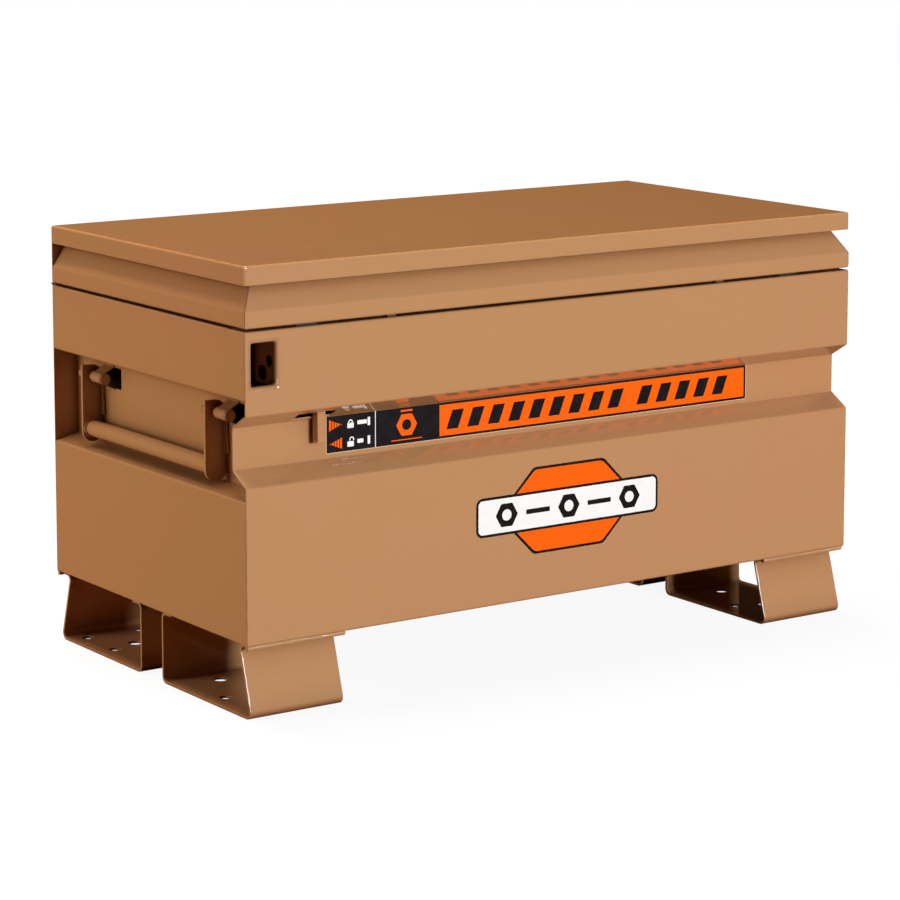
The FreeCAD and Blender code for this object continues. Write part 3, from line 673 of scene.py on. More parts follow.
@dataclass
class Film:
    """Flat shapes cut from film, stuck on an upright face that looks along -Y."""

    face: float
    body: Body = Body.BOX
    rounding: int = 5

    def panel(self, left: float, right: float, low: float, high: float,
              corner: float = 0.0, lean: float = 0.0) -> bpy.types.Object:
        """A four-sided shape.

        Args:
            left, right: its ends along X.
            low, high: its foot and head.
            corner: the radius of its corners.
            lean: how far its head stands to the right of its foot.

        Returns:
            The flat shape.
        """
        clear_selection()
        middle = ((left + right) / 2, self.face, (low + high) / 2)
        bpy.ops.mesh.primitive_plane_add(size=1.0, location=middle, rotation=(math.pi / 2, 0.0, 0.0))
        shape = bpy.context.object
        shape.scale = (right - left, high - low, 1.0)
        bake_place(shape)
        if lean:
            pick(shape, Element.CORNER, lambda place, normal: place.z > middle[2])
            bpy.ops.transform.translate(value=(lean, 0.0, 0.0))
        self.round_corners(shape, corner)
        return shape

    def polygon(self, across: float, up: float, width: float, height: float, sides: int,
                corner: float = 0.0) -> bpy.types.Object:
        """A regular shape with corners at its left and right, stretched to a width and a height.

        Args:
            across, up: its middle.
            width, height: its size.
            sides: how many sides it has.
            corner: the radius of its corners.

        Returns:
            The flat shape.
        """
        clear_selection()
        bpy.ops.mesh.primitive_circle_add(vertices=sides, radius=0.5, fill_type="NGON")
        shape = bpy.context.object
        shape.rotation_euler = (0.0, 0.0, math.pi / 2)
        bake_place(shape)
        shape.scale = (width / shape.dimensions.x, height / shape.dimensions.y, 1.0)
        bake_place(shape)
        self.round_corners(shape, corner)
        shape.rotation_euler = (math.pi / 2, 0.0, 0.0)
        shape.location = (across, self.face, up)
        bake_place(shape)
        return shape

    def round_corners(self, shape: bpy.types.Object, corner: float) -> None:
        """Round every corner of a flat shape.

        Args:
            shape: the flat shape.
            corner: the radius, or 0 to leave it as it is.
        """
        if corner:
            pick(shape, Element.CORNER, everything)
            bpy.ops.mesh.bevel(offset=corner, segments=self.rounding, affect="VERTICES")
        clear_selection()

    def lay(self, shapes: list[bpy.types.Object], name: str, material: bpy.types.Material,
            level: float, thickness: float) -> bpy.types.Object:
        """Join flat shapes, give them their thickness and stick them on.

        Args:
            shapes: the flat shapes.
            name: the film's name.
            material: its ink.
            level: how far in front of the face its back lies.
            thickness: how thick it is.

        Returns:
            The film.
        """
        film = join(shapes, name)
        film.location.y = -level
        bake_place(film)
        apply_modifier(film, "SOLIDIFY", thickness=thickness, offset=1.0)
        return settle(film, name, material, self.body)


@dataclass
class GrooveStrip:
    """The long strip in the front groove: a black panel that explains the latch, and an orange one."""

    finishes: Finishes
    face: float
    foot: float = 296.5 * MM
    head: float = 340.0 * MM
    left: float = -329.5 * MM
    divider: float = -261.0 * MM
    orange_left: float = -171.8 * MM
    right: float = 309.0 * MM
    corner: float = 0.8 * MM
    margin: float = 1.0 * MM
    margin_corner: float = 1.5 * MM
    border: float = 2.9 * MM
    carrier: float = 0.18 * MM
    ink: float = 0.05 * MM
    divider_width: float = 1.0 * MM
    upper_row: float = 11.0 * MM
    lower_row: float = 10.2 * MM
    arrow_inset: float = 3.5 * MM
    arrow_bars: int = 5
    arrow_width: float = 19.0 * MM
    arrow_height: float = 15.0 * MM
    arrow_bar_share: float = 0.72
    sign_inset: float = 29.0 * MM
    sign_drop: float = 5.5 * MM
    sign_corner: float = 0.6 * MM
    padlock_width: float = 9.0 * MM
    padlock_height: float = 6.4 * MM
    padlock_corner: float = 0.7 * MM
    bow_radius: float = 3.3 * MM
    bow_bore: float = 0.58
    bow_leg: float = 1.6 * MM
    bow_shut: float = 6.8 * MM
    bow_open: float = 8.6 * MM
    bow_shift: float = 1.6 * MM
    bolt_inset: float = 14.0 * MM
    bolt_shut: float = 13.5 * MM
    bolt_open: float = 8.5 * MM
    bolt_half: float = 2.4 * MM
    stop_inset: float = 14.5 * MM
    stop_width: float = 3.5 * MM
    stop_half: float = 5.0 * MM
    nut_rise: float = 0.6 * MM
    nut_width: float = 30.0 * MM
    nut_height: float = 26.0 * MM
    nut_corner: float = 0.8 * MM
    nut_hole: float = 13.0 * MM
    head_bar_half: float = 8.5 * MM
    head_bar_levels: tuple[float, float] = (5.2 * MM, 3.0 * MM)
    foot_line_half: float = 22.0 * MM
    foot_line_levels: tuple[float, float] = (4.0 * MM, 5.3 * MM)
    bar_groups: tuple[tuple[float, int], ...] = ((-159.0 * MM, 9), (131.0 * MM, 5))
    bar_pitch: float = 30.5 * MM
    bar_width: float = 17.0 * MM
    bar_half: float = 11.5 * MM
    bar_lean: float = 9.0 * MM

    def build(self) -> None:
        """Lay the carrier, the panels and every print on them."""
        film = Film(self.face)
        film.lay([film.panel(self.left - self.margin, self.right + self.margin,
                             self.foot - self.margin, self.head + self.margin, self.margin_corner)],
                 "strip_carrier", self.finishes.carrier, 0.0, self.carrier)
        film.lay([film.panel(self.left, self.right, self.foot, self.head, self.corner)],
                 "strip_black", self.finishes.black, self.carrier, self.ink)
        level = self.carrier + self.ink
        orange = self.make_orange_field(film) + self.make_arrows(film) + self.make_nut(film)
        film.lay(orange, "strip_orange", self.finishes.orange, level, self.ink)
        film.lay(self.make_latch_signs(film), "strip_white", self.finishes.white, level, self.ink)
        film.lay(self.make_bars(film), "strip_bars", self.finishes.black, level + self.ink, self.ink)

    def make_orange_field(self, film: Film) -> list[bpy.types.Object]:
        """The orange field inside its black border."""
        return [film.panel(self.orange_left + self.border, self.right - self.border,
                           self.foot + self.border, self.head - self.border)]

    def make_arrows(self, film: Film) -> list[bpy.types.Object]:
        """Two arrows of shrinking upright bars: the upper points right, the lower left.

        Args:
            film: what cuts the shapes.

        Returns:
            The flat bars.
        """
        pitch = self.arrow_width / self.arrow_bars
        narrow = self.arrow_height / self.arrow_bars * self.arrow_bar_share / 2
        bars = []
        for way, middle in ((1, self.head - self.upper_row), (-1, self.foot + self.lower_row)):
            for index in range(self.arrow_bars):
                left = self.left + self.arrow_inset + pitch * index
                right = left + pitch * self.arrow_bar_share
                share = (index + 0.5) / self.arrow_bars
                half = self.arrow_height / 2 * (1 - share if way > 0 else share)
                bar = film.panel(left, right, middle - half, middle + half)
                pick(bar, Element.EDGE, lambda place, normal: (place.x - (left + right) / 2) * way > 1e-5)
                bpy.ops.transform.resize(value=(1.0, 1.0, max(0.05, (half - narrow) / half)))
                clear_selection()
                bars.append(bar)
        return bars

    def make_nut(self, film: Film) -> list[bpy.types.Object]:
        """A plain nut sign with a short bar over it and a thin line under it.

        Args:
            film: what cuts the shapes.

        Returns:
            The flat nut, bar and line.
        """
        middle = (self.divider + self.orange_left) / 2
        up = (self.foot + self.head) / 2 + self.nut_rise
        nut = film.polygon(middle, up, self.nut_width, self.nut_height, 6, self.nut_corner)
        bar_low, bar_high = self.head_bar_levels
        bar = film.panel(middle - self.head_bar_half, middle + self.head_bar_half,
                         self.head - bar_low, self.head - bar_high)
        line_low, line_high = self.foot_line_levels
        line = film.panel(middle - self.foot_line_half, middle + self.foot_line_half,
                          self.foot + line_low, self.foot + line_high)
        return [nut, bar, line]

    def make_latch_signs(self, film: Film) -> list[bpy.types.Object]:
        """Signs beside the arrows, a shut and an open padlock with a bolt, and the white dividing line.

        Args:
            film: what cuts the shapes.

        Returns:
            The flat line, padlocks, bolts and bolt stops.
        """
        half = self.divider_width / 2
        shapes = [film.panel(self.divider - half, self.divider + half, self.foot, self.head)]
        left = self.left + self.sign_inset
        bolt = left + self.bolt_inset
        stop = bolt + self.stop_inset
        for middle, shut in ((self.head - self.upper_row, True), (self.foot + self.lower_row, False)):
            shapes += self.make_padlock(film, left, middle - self.sign_drop, shut)
            bolt_end = bolt + (self.bolt_shut if shut else self.bolt_open)
            shapes.append(film.panel(bolt, bolt_end, middle - self.bolt_half, middle + self.bolt_half,
                                     self.sign_corner))
            shapes.append(film.panel(stop, stop + self.stop_width, middle - self.stop_half,
                                     middle + self.stop_half, self.sign_corner))
        return shapes

    def make_padlock(self, film: Film, left: float, low: float, shut: bool) -> list[bpy.types.Object]:
        """A padlock sign.

        Args:
            film: what cuts the shapes.
            left, low: its lower left corner.
            shut: whether its bow is down in its body.

        Returns:
            The flat body and bow.
        """
        body = film.panel(left, left + self.padlock_width, low, low + self.padlock_height,
                          self.padlock_corner)
        bow_middle = left + self.padlock_width / 2 + (0.0 if shut else self.bow_shift)
        bow_level = low + (self.bow_shut if shut else self.bow_open)
        centre = (bow_middle, film.face, bow_level)
        clear_selection()
        bpy.ops.mesh.primitive_circle_add(vertices=20, radius=self.bow_radius, location=centre,
                                          rotation=(math.pi / 2, 0.0, 0.0))
        bow = bpy.context.object
        bake_place(bow)
        pick(bow, Element.CORNER, lambda place, normal: place.z < bow_level - 0.1 * MM)
        bpy.ops.mesh.delete(type="VERT")
        pick(bow, Element.EDGE, everything)
        bpy.ops.mesh.extrude_edges_move()
        bpy.ops.transform.resize(value=(self.bow_bore, 1.0, self.bow_bore), center_override=centre)
        pick(bow, Element.EDGE, lambda place, normal: place.z < bow_level + 0.05 * MM)
        bpy.ops.mesh.extrude_edges_move(TRANSFORM_OT_translate={"value": (0.0, 0.0, -self.bow_leg)})
        clear_selection()
        face_front(bow)
        return [body, bow]

    def make_bars(self, film: Film) -> list[bpy.types.Object]:
        """Leaning black bars on the orange field in a long and a short group, and the nut's hole.

        Args:
            film: what cuts the shapes.

        Returns:
            The flat hole and bars.
        """
        middle = (self.foot + self.head) / 2
        shapes = [film.polygon((self.divider + self.orange_left) / 2, middle + self.nut_rise,
                               self.nut_hole, self.nut_hole, 32)]
        for start, count in self.bar_groups:
            for index in range(count):
                left = start + self.bar_pitch * index
                shapes.append(film.panel(left, left + self.bar_width, middle - self.bar_half,
                                         middle + self.bar_half, self.sign_corner, self.bar_lean))
        return shapes


@dataclass
class FrontMark:
    """The large mark on the front: an orange six-sided plate and a white band with plain nut signs."""

    finishes: Finishes
    face: float
    across: float = 4.0 * MM
    up: float = 198.5 * MM
    plate_width: float = 214.0 * MM
    plate_height: float = 108.0 * MM
    plate_corner: float = 4.0 * MM
    plate_narrowing: float = 2.3
    edge: float = 3.2 * MM
    band_width: float = 272.0 * MM
    band_height: float = 42.0 * MM
    band_corner: float = 6.0 * MM
    nuts: int = 3
    nut_pitch: float = 94.0 * MM
    nut_width: float = 33.0 * MM
    nut_hole: float = 14.0 * MM
    bar_width: float = 36.0 * MM
    bar_height: float = 6.0 * MM
    sign_corner: float = 1.0 * MM
    ink: float = 0.06 * MM

    def build(self) -> None:
        """Lay the plate and the band, each edged in black, and the band's signs."""
        film = Film(self.face)
        black, white = self.finishes.black, self.finishes.white
        film.lay([self.make_plate(film, 0.0)], "mark_outline", black, 0.0, self.ink * 3)
        film.lay([self.make_plate(film, self.edge)], "mark_plate", self.finishes.orange,
                 self.ink * 3, self.ink)
        film.lay([self.make_band(film, self.edge)], "mark_band_edge", black, 0.0, self.ink * 5)
        film.lay([self.make_band(film, 0.0)], "mark_band", white, self.ink * 5, self.ink)
        film.lay(self.make_nuts(film), "mark_nuts", black, self.ink * 6, self.ink)
        film.lay(self.make_holes(film), "mark_nut_holes", white, self.ink * 7, self.ink)

    def make_plate(self, film: Film, inset: float) -> bpy.types.Object:
        """The six-sided plate.

        Args:
            film: what cuts the shape.
            inset: how much smaller it is all round.

        Returns:
            The flat plate.
        """
        return film.polygon(self.across, self.up, self.plate_width - self.plate_narrowing * inset,
                            self.plate_height - 2 * inset, 6, self.plate_corner)

    def make_band(self, film: Film, grow: float) -> bpy.types.Object:
        """The level band across the plate.

        Args:
            film: what cuts the shape.
            grow: how much larger it is all round.

        Returns:
            The flat band.
        """
        half_width = self.band_width / 2 + grow
        half_height = self.band_height / 2 + grow
        return film.panel(self.across - half_width, self.across + half_width, self.up - half_height,
                          self.up + half_height, self.band_corner + grow)

    def nut_places(self) -> list[float]:
        """Where the nuts' middles lie along X."""
        first = self.across - self.nut_pitch * (self.nuts - 1) / 2
        return [first + self.nut_pitch * index for index in range(self.nuts)]

    def make_nuts(self, film: Film) -> list[bpy.types.Object]:
        """The row of nuts, with a short bar between each two.

        Args:
            film: what cuts the shapes.

        Returns:
            The flat nuts and bars.
        """
        places = self.nut_places()
        height = self.nut_width * math.sqrt(3) / 2
        shapes = [film.polygon(across, self.up, self.nut_width, height, 6, self.sign_corner)
                  for across in places]
        for left, right in zip(places, places[1:]):
            middle = (left + right) / 2
            shapes.append(film.panel(middle - self.bar_width / 2, middle + self.bar_width / 2,
                                     self.up - self.bar_height / 2, self.up + self.bar_height / 2,
                                     self.sign_corner))
        return shapes

    def make_holes(self, film: Film) -> list[bpy.types.Object]:
        """The nuts' round holes, as white discs.

        Args:
            film: what cuts the shapes.

        Returns:
            The flat discs.
        """
        return [film.polygon(across, self.up, self.nut_hole, self.nut_hole, 32)
                for across in self.nut_places()]


# ---------------------------------------------------------------- welds

@dataclass
class WeldBead:
    """Beads of overlapping ripples, all made from one ripple."""

    radius: float = 2.3 * MM
    pitch: float = 2.2 * MM
    sides: int = 10
    tail: float = 0.62
    overlap: float = 1.7
    crown: float = 0.35

    def make_ripple(self) -> bpy.types.Object:
        """One ripple at the origin, its rounded front towards +X and its narrow tail behind.

        Returns:
            The ripple.
        """
        clear_selection()
        length = self.pitch * self.overlap
        bpy.ops.mesh.primitive_cylinder_add(vertices=self.sides, radius=self.radius, depth=length,
                                            rotation=(0.0, math.pi / 2, 0.0))
        ripple = bpy.context.object
        bake_place(ripple)
        pick(ripple, Element.CORNER, lambda place, normal: place.x < 0)
        bpy.ops.transform.resize(value=(1.0, self.tail, self.tail))
        ease(ripple, Element.FACE, lambda place, normal: normal.x > 0.9, self.radius * self.crown)
        return ripple

    def straight(self, start: Vector, end: Vector, out: Vector) -> bpy.types.Object:
        """A straight bead.

        Args:
            start, end: its ends.
            out: the way its crown faces.

        Returns:
            The bead.
        """
        bead = self.make_ripple()
        along = end - start
        count = max(2, round(along.length / self.pitch))
        repeat(bead, count, along.length / count)
        turn_to(bead, start, along, out)
        return bead

    def ring(self, centre: Vector, radius: float) -> bpy.types.Object:
        """A bead round a bar or tube that lies along Y.

        Args:
            centre: the ring's centre.
            radius: the ring's radius.

        Returns:
            The bead.
        """
        bead = self.make_ripple()
        count = round(2 * math.pi * radius / self.pitch)
        across, up = Vector((1.0, 0.0, 0.0)), Vector((0.0, 0.0, 1.0))
        turn_to(bead, centre + up * radius, across, up)
        pick(bead, Element.FACE, everything)
        bpy.ops.mesh.spin(steps=count - 1, angle=2 * math.pi * (count - 1) / count, dupli=True,
                          center=centre, axis=(0.0, 1.0, 0.0))
        clear_selection()
        return bead


@dataclass
class HandleWelds:
    """Rings where one drop handle's tube and rods meet its arms, and beads along its keepers."""

    finishes: Finishes
    name: str
    side: int        # -1 at the left end, 1 at the right
    body: Body
    rod_ring: float = 6.1 * MM
    tube_ring: float = 11.3 * MM
    keeper_width: float = 23.0 * MM
    keeper_half: float = 14.6 * MM
    keeper_margin: float = 2.5 * MM

    def build(self) -> None:
        """Lay every bead of the handle and of its keepers."""
        self.weld_arms()
        self.weld_keepers()

    def weld_arms(self) -> None:
        """The beads that move with the handle."""
        rods = WeldBead(radius=1.7 * MM, pitch=1.7 * MM)
        tube = WeldBead(radius=2.2 * MM)
        pivot = middle_of(f"{self.name}_pivots")
        grip_low, grip_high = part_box(f"{self.name}_grip")
        grip = (grip_low + grip_high) / 2
        beads = []
        for arm in ("front_arm", "rear_arm"):
            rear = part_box(f"{self.name}_{arm}")[1].y
            beads.append(rods.ring(Vector((pivot.x, rear, pivot.z)), self.rod_ring))
        for end in (grip_low.y, grip_high.y):
            beads.append(tube.ring(Vector((grip.x, end, grip.z)), self.tube_ring))
        settle_beads(beads, f"{self.name}_welds", self.finishes.paint, self.body)

    def weld_keepers(self) -> None:
        """The beads that hold the keepers to the recess wall."""
        bead = WeldBead(radius=1.9 * MM, pitch=2.0 * MM)
        low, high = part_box(f"{self.name}_keepers")
        wall = low.x if self.side > 0 else high.x
        pivot = middle_of(f"{self.name}_pivots")
        beads = []
        for start in (low.y, high.y - self.keeper_width):
            end = start + self.keeper_width
            for way in (-1, 1):
                level = pivot.z + way * self.keeper_half
                beads.append(bead.straight(Vector((wall, start + self.keeper_margin, level)),
                                           Vector((wall, end - self.keeper_margin, level)),
                                           Vector((self.side, 0.0, way))))
        settle_beads(beads, f"{self.name}_keeper_welds", self.finishes.paint, Body.BOX)


@dataclass
class FootWelds:
    """Beads that hold one foot: a long seam under the wall's edge and stitches on the inner flange."""

    finishes: Finishes
    foot: str
    stitches: int = 3
    stitch: float = 26.0 * MM
    margin: float = 9.0 * MM
    flange: float = 22.0 * MM
    stitch_drop: float = 0.6 * MM
    overhang: float = 3.0 * MM
    seam_inset: float = 1.6 * MM
    droop: float = 0.6

    def build(self) -> None:
        """Lay the seam along the outer wall and the stitches along the inner flange's free edge."""
        low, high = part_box(self.foot)
        outward = -1 if low.y + high.y < 0 else 1
        outer, free = (low.y, high.y) if outward < 0 else (high.y, low.y)
        crown = Vector((0.0, outward, -self.droop))
        bead = WeldBead(radius=2.2 * MM)
        pitch = (high.x - low.x - 2 * self.margin - self.stitch) / (self.stitches - 1)
        inner = free + outward * self.flange
        level = high.z - self.stitch_drop
        beads = []
        for index in range(self.stitches):
            start = low.x + self.margin + pitch * index
            beads.append(bead.straight(Vector((start, inner, level)),
                                       Vector((start + self.stitch, inner, level)), crown))
        seam = WeldBead(radius=3.3 * MM, pitch=1.6 * MM, tail=0.95)
        wall = outer - outward * self.seam_inset
        level = high.z - self.seam_inset
        beads.append(seam.straight(Vector((low.x - self.overhang, wall, level)),
                                   Vector((high.x + self.overhang, wall, level)), crown))
        settle_beads(beads, f"{self.foot}_welds", self.finishes.paint, Body.BOX)


# ---------------------------------------------------------------- the lock pocket's lip

@dataclass
class PocketLip:
    """The rounded lip that the front panel turns into the lock pocket."""

    finishes: Finishes
    face: float
    left: float = -451.7 * MM
    right: float = -411.6 * MM
    foot: float = 386.7 * MM
    head: float = 444.6 * MM
    corner: float = 4.0 * MM
    depth: float = 6.0 * MM
    turn: float = 3.4 * MM
    sheet: float = 1.2 * MM
    steps: int = 6

    def ring(self, step: int) -> tuple[float, float]:
        """Where the lip is after some steps of its quarter turn.

        Args:
            step: how many steps it has taken.

        Returns:
            How far it is inside the opening's edge, and how far behind the face.
        """
        angle = math.pi / 2 * step / self.steps
        return self.turn * math.sin(angle), self.depth * (1 - math.cos(angle))

    def build(self) -> None:
        """Turn the opening's edge inwards and give it a thickness."""
        lip = Film(self.face).panel(self.left, self.right, self.foot, self.head, self.corner)
        pick(lip, Element.FACE, everything)
        bpy.ops.mesh.delete(type="ONLY_FACE")
        middle = ((self.left + self.right) / 2, self.face, (self.foot + self.head) / 2)
        wide, tall = self.right - self.left, self.head - self.foot
        pick(lip, Element.EDGE, everything)
        for step in range(self.steps):
            inset, level = self.ring(step)
            next_inset, next_level = self.ring(step + 1)
            bpy.ops.mesh.extrude_edges_move()
            bpy.ops.transform.resize(value=((wide - 2 * next_inset) / (wide - 2 * inset), 1.0,
                                            (tall - 2 * next_inset) / (tall - 2 * inset)),
                                     center_override=middle)
            bpy.ops.transform.translate(value=(0.0, next_level - level, 0.0))
        clear_selection()
        tidy_mesh(lip)
        apply_modifier(lip, "SOLIDIFY", thickness=self.sheet, offset=0.0)
        smooth(settle(lip, "pocket_lip", self.finishes.paint, Body.BOX), 40.0)


# ---------------------------------------------------------------- the hinge

@dataclass
class PianoHinge:
    """Full-width hinge with short rolled knuckles; its two leaves stand for the frame's plainer ones."""

    finishes: Finishes
    knuckles: int = 35
    barrel_radius: float = 4.0 * MM
    pin_radius: float = 2.05 * MM
    gap: float = 0.4 * MM
    clearance: float = 0.6 * MM
    sheet: float = 1.5 * MM
    strip_share: float = 0.86
    strip_overlap: float = 0.8 * MM
    edge: float = 0.35 * MM
    spots: int = 12
    spot_radius: float = 3.4 * MM
    spot_ring: float = 0.22
    spot_wall: float = 0.3
    spot_height: float = 0.6 * MM
    spot_rise: float = 0.12 * MM
    spot_dip: float = 0.35 * MM

    def build(self) -> None:
        """Make both leaves."""
        self.make_leaf("hinge_body_leaf", -1, 0, Body.BOX)
        self.make_leaf("hinge_lid_leaf", 1, 1, Body.LID)

    def make_leaf(self, node: str, way: int, first: int, body: Body) -> None:
        """One leaf with its share of the knuckles.

        Args:
            node: the frame's leaf that it stands for.
            way: 1 for the leaf above the pin, -1 for the one below.
            first: which knuckle is its first.
            body: the body it rides on.
        """
        low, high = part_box(node)
        pin = middle_of("hinge_pin")
        face = high.y if high.y < pin.y else pin.y - self.barrel_radius + self.sheet
        pitch = (high.x - low.x) / self.knuckles
        near = pin.z + way * (self.barrel_radius + self.clearance)
        far = high.z if way > 0 else low.z
        parts = [self.make_plate(low.x, high.x, face, near, far),
                 self.make_spots(low.x, high.x, face, (near + far) / 2)]
        knuckle = self.make_knuckle(low.x + pitch * first + self.gap / 2, pitch - self.gap, pin, face, near)
        repeat(knuckle, (self.knuckles - first + 1) // 2, 2 * pitch)
        parts.append(knuckle)
        leaf = settle(join(parts, f"piano_{node}"), f"piano_{node}", self.finishes.paint, body)
        smooth(leaf)
        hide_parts(node)

    def make_plate(self, left: float, right: float, face: float, near: float,
                   far: float) -> bpy.types.Object:
        """The flat of a leaf, with its edges eased.

        Args:
            left, right: its ends along X.
            face: its outer face along Y.
            near, far: its edges along Z, by the pin and away from it.

        Returns:
            The plate.
        """
        plate = make_block(((left + right) / 2, face - self.sheet / 2, (near + far) / 2),
                           (right - left, self.sheet, abs(far - near)))
        ease(plate, Element.EDGE, lambda place, normal: place.y > face - self.sheet / 4, self.edge)
        return plate

    def make_spots(self, left: float, right: float, face: float, level: float) -> bpy.types.Object:
        """A row of spot welds: low rings round shallow dimples.

        Args:
            left, right: the leaf's ends.
            face: the leaf's outer face.
            level: the row's height.

        Returns:
            The row.
        """
        pitch = (right - left) / self.spots
        clear_selection()
        bpy.ops.mesh.primitive_cylinder_add(vertices=20, radius=self.spot_radius, depth=self.spot_height,
                                            location=(left + pitch / 2, face, level),
                                            rotation=(math.pi / 2, 0.0, 0.0))
        spot = bpy.context.object
        bake_place(spot)
        pick(spot, Element.FACE, lambda place, normal: normal.y > 0.9)
        bpy.ops.mesh.inset(thickness=self.spot_radius * self.spot_ring)
        bpy.ops.transform.translate(value=(0.0, self.spot_rise, 0.0))
        bpy.ops.mesh.inset(thickness=self.spot_radius * self.spot_wall)
        bpy.ops.transform.translate(value=(0.0, -self.spot_dip, 0.0))
        clear_selection()
        repeat(spot, self.spots, pitch)
        return spot

    def make_knuckle(self, left: float, length: float, pin: Vector, face: float,
                     near: float) -> bpy.types.Object:
        """One rolled knuckle, bored for the pin, with the strip that joins it to its leaf.

        Args:
            left: its left end.
            length: how long it is.
            pin: a point on the pin's axis.
            face: the leaf's outer face.
            near: the leaf's edge by the pin.

        Returns:
            The knuckle.
        """
        clear_selection()
        bpy.ops.mesh.primitive_cylinder_add(vertices=24, radius=self.barrel_radius, depth=length,
                                            location=(left + length / 2, pin.y, pin.z),
                                            rotation=(0.0, math.pi / 2, 0.0))
        barrel = bpy.context.object
        bake_place(barrel)
        pick(barrel, Element.FACE, lambda place, normal: abs(normal.x) > 0.9)
        bpy.ops.mesh.inset(thickness=self.barrel_radius - self.pin_radius, use_individual=True)
        bpy.ops.mesh.delete(type="FACE")
        bore = self.pin_radius * 1.2
        pick(barrel, Element.EDGE, lambda place, normal:
             math.hypot(place.y - pin.y, place.z - pin.z) < bore
             and min(abs(place.x - left), abs(place.x - left - length)) < self.gap / 4)
        bpy.ops.mesh.bridge_edge_loops()
        clear_selection()
        tidy_mesh(barrel)
        strip = make_block((left + length / 2, face - self.sheet / 2, (pin.z + near) / 2),
                           (length, self.sheet * self.strip_share, abs(near - pin.z) + self.strip_overlap))
        ease(strip, Element.EDGE, lambda place, normal: abs(place.x - left - length / 2) > length * 0.49,
             self.edge)
        return join([barrel, strip], "knuckle")


# ---------------------------------------------------------------- the studio

@dataclass(frozen=True)
class SoftLight:
    """An area light: its place, width and height in metres, its power in watts and its linear tint."""

    name: str
    place: Triple
    size: tuple[float, float]
    watts: float
    tint: Triple
    in_diffuse: bool = True
    in_gloss: bool = True


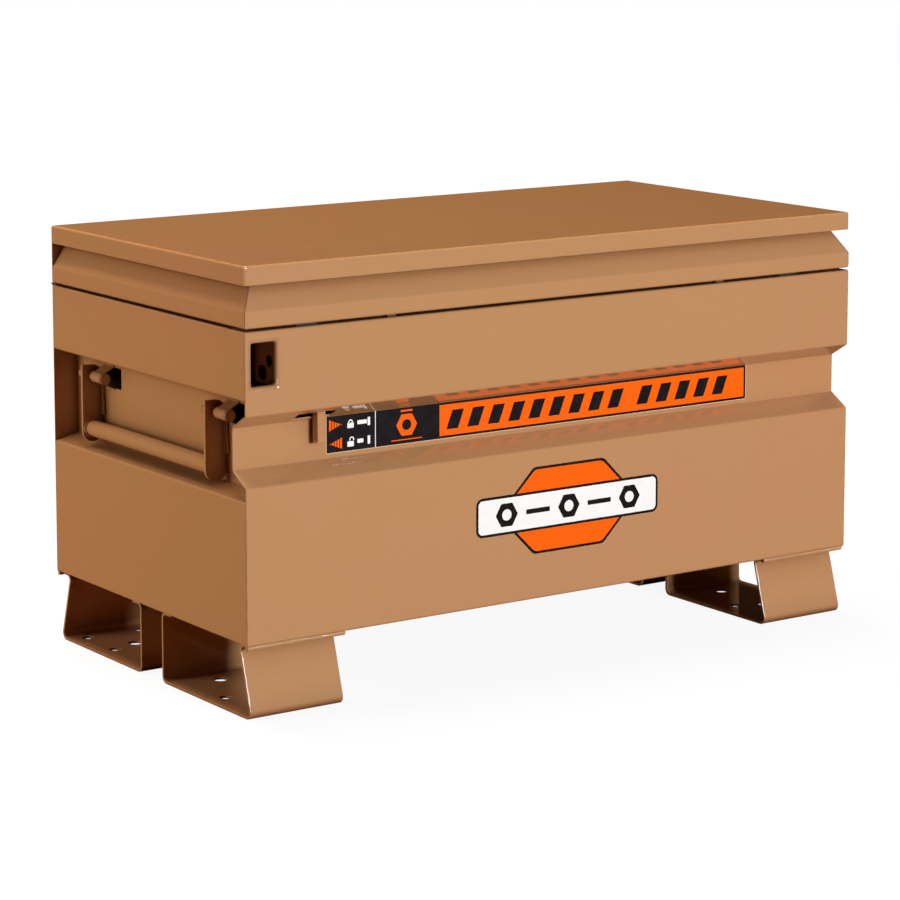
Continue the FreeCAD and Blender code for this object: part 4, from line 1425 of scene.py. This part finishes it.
@dataclass
class Studio:
    """Pale floor, white surround, soft lights and the camera."""

    lights: tuple[SoftLight, ...] = (
        SoftLight("key_light", (0.45, -6.9, 1.35), (1.3, 1.3), 438.0, (1.0, 1.14, 1.36)),
        SoftLight("top_light", (0.0, 1.2, 3.6), (2.6, 2.6), 186.0, (1.0, 0.89, 0.76)),
        SoftLight("left_light", (-4.4, 1.6, 1.2), (2.4, 2.4), 137.0, (1.0, 1.02, 1.05), in_gloss=False),
        SoftLight("rim_light", (-4.2, -2.1, 0.9), (0.9, 2.0), 48.0, (1.0, 0.98, 0.94), in_diffuse=False))
    floor_half: float = 400.0
    floor_colour: float = 0.12
    floor_bounce: Triple = (0.15, 0.06, 0.012)
    floor_lift: float = 0.91
    lift_from: float = 0.8
    white_from: float = 3.0
    ambient: float = 0.025
    ambient_tint: Triple = (1.0, 0.55, 0.25)
    gloss: float = 0.02
    aim: Triple = (0.0, 0.0, 0.27)
    camera_place: Triple = (-2.2619, -3.2361, 1.0090)
    camera_yaw: float = 34.85
    camera_dip: float = 7.861
    camera_shift: float = -0.2
    lens: float = 124.81

    def build(self) -> None:
        """Make the floor, the surround, the lights and the camera."""
        self.make_floor()
        self.make_surround()
        for light in self.lights:
            self.make_light(light)
        self.make_camera()

    def make_floor(self) -> None:
        """A pale floor that keeps the shadow."""
        clear_selection()
        bpy.ops.mesh.primitive_plane_add(size=2 * self.floor_half)
        floor = bpy.context.object
        floor.name = "studio_floor"
        floor.data.materials.append(self.make_floor_paint())

    @staticmethod
    def tone_by_ray(tree: bpy.types.NodeTree, path: bpy.types.Node, unseen: Triple,
                    seen: Triple) -> bpy.types.NodeSocket:
        """One colour where the camera looks, another for the light that is sent back.

        Args:
            tree: the nodes to add to.
            path: their Light Path node.
            unseen: the linear colour of the light sent back.
            seen: the linear colour that the camera sees.

        Returns:
            The colour.
        """
        tone = tree.nodes.new("ShaderNodeMix")
        tone.data_type = "RGBA"
        tone.inputs["A"].default_value = unseen + (1.0,)
        tone.inputs["B"].default_value = seen + (1.0,)
        tree.links.new(path.outputs["Is Camera Ray"], tone.inputs["Factor"])
        return tone.outputs["Result"]

    def make_floor_paint(self) -> bpy.types.Material:
        """The floor's matt paint, which glows to the camera alone and fades to white far out.

        Returns:
            The material.
        """
        material = bpy.data.materials.new("studio_floor")
        material.use_nodes = True
        tree = material.node_tree
        tree.nodes.clear()
        output = tree.nodes.new("ShaderNodeOutputMaterial")
        seen = tree.nodes.new("ShaderNodeAddShader")
        matt = tree.nodes.new("ShaderNodeBsdfDiffuse")
        glow = tree.nodes.new("ShaderNodeEmission")
        path = tree.nodes.new("ShaderNodeLightPath")
        tone = self.tone_by_ray(tree, path, self.floor_bounce, (self.floor_colour,) * 3)
        tree.links.new(tone, matt.inputs["Color"])
        lift = tree.nodes.new("ShaderNodeMath")
        lift.operation = "MULTIPLY"
        place = tree.nodes.new("ShaderNodeTexCoord")
        reach = tree.nodes.new("ShaderNodeVectorMath")
        reach.operation = "LENGTH"
        whiter = tree.nodes.new("ShaderNodeMapRange")
        whiter.inputs["From Min"].default_value = self.lift_from
        whiter.inputs["From Max"].default_value = self.white_from
        whiter.inputs["To Min"].default_value = self.floor_lift
        whiter.inputs["To Max"].default_value = 1.0
        tree.links.new(place.outputs["Object"], reach.inputs[0])
        tree.links.new(reach.outputs["Value"], whiter.inputs["Value"])
        tree.links.new(whiter.outputs["Result"], lift.inputs[1])
        tree.links.new(path.outputs["Is Camera Ray"], lift.inputs[0])
        tree.links.new(lift.outputs[0], glow.inputs["Strength"])
        tree.links.new(matt.outputs[0], seen.inputs[0])
        tree.links.new(glow.outputs[0], seen.inputs[1])
        tree.links.new(seen.outputs[0], output.inputs["Surface"])
        return material

    def make_surround(self) -> None:
        """A world that is white to the camera, dim in gloss and an even, warm light elsewhere."""
        world = bpy.data.worlds.new("studio")
        bpy.context.scene.world = world
        world.use_nodes = True
        tree = world.node_tree
        sky = tree.nodes["Background"]
        path = tree.nodes.new("ShaderNodeLightPath")
        tone = self.tone_by_ray(tree, path, self.ambient_tint, (1.0, 1.0, 1.0))
        tree.links.new(tone, sky.inputs["Color"])
        level = self.ambient
        for ray, strength in (("Is Glossy Ray", self.gloss), ("Is Camera Ray", 1.0)):
            step = tree.nodes.new("ShaderNodeMapRange")
            step.inputs["To Max"].default_value = strength
            if isinstance(level, float):
                step.inputs["To Min"].default_value = level
            else:
                tree.links.new(level, step.inputs["To Min"])
            tree.links.new(path.outputs[ray], step.inputs["Value"])
            level = step.outputs["Result"]
        tree.links.new(level, sky.inputs["Strength"])

    def make_light(self, light: SoftLight) -> None:
        """Hang a soft light, aimed at the middle of the box.

        Args:
            light: its sizes and settings.
        """
        clear_selection()
        bpy.ops.object.light_add(type="AREA", location=light.place)
        lamp = bpy.context.object
        lamp.name = light.name
        lamp.data.energy = light.watts
        lamp.data.color = light.tint
        lamp.data.shape = "RECTANGLE"
        lamp.data.size, lamp.data.size_y = light.size
        lamp.rotation_euler = (Vector(self.aim) - Vector(light.place)).to_track_quat("-Z", "Y").to_euler()
        lamp.visible_diffuse = light.in_diffuse
        lamp.visible_glossy = light.in_gloss

    def make_camera(self) -> None:
        """The camera at the chosen angle."""
        clear_selection()
        bpy.ops.object.camera_add(location=self.camera_place)
        camera = bpy.context.object
        camera.rotation_euler = (math.radians(90 - self.camera_dip), 0.0, math.radians(-self.camera_yaw))
        camera.data.lens = self.lens
        camera.data.sensor_width = 36.0
        camera.data.shift_y = self.camera_shift
        camera.data.clip_end = 2000.0
        bpy.context.scene.camera = camera


def main() -> None:
    """Build the studio and dress the box, piece by piece."""
    bpy.context.scene.view_settings.view_transform = "Standard"
    finishes = Finishes()
    front_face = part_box("front_panel")[0].y
    SteelWork(finishes).dress()
    GrooveStrip(finishes, front_face + GROOVE_DEPTH).build()
    FrontMark(finishes, front_face).build()
    PocketLip(finishes, front_face).build()
    HandleWelds(finishes, "left_handle", -1, Body.LEFT_HANDLE).build()
    HandleWelds(finishes, "right_handle", 1, Body.RIGHT_HANDLE).build()
    for foot in ("left_front_foot", "left_rear_foot", "right_front_foot", "right_rear_foot"):
        FootWelds(finishes, foot).build()
    PianoHinge(finishes).build()
    Studio().build()


if __name__ == "__main__":
    main()
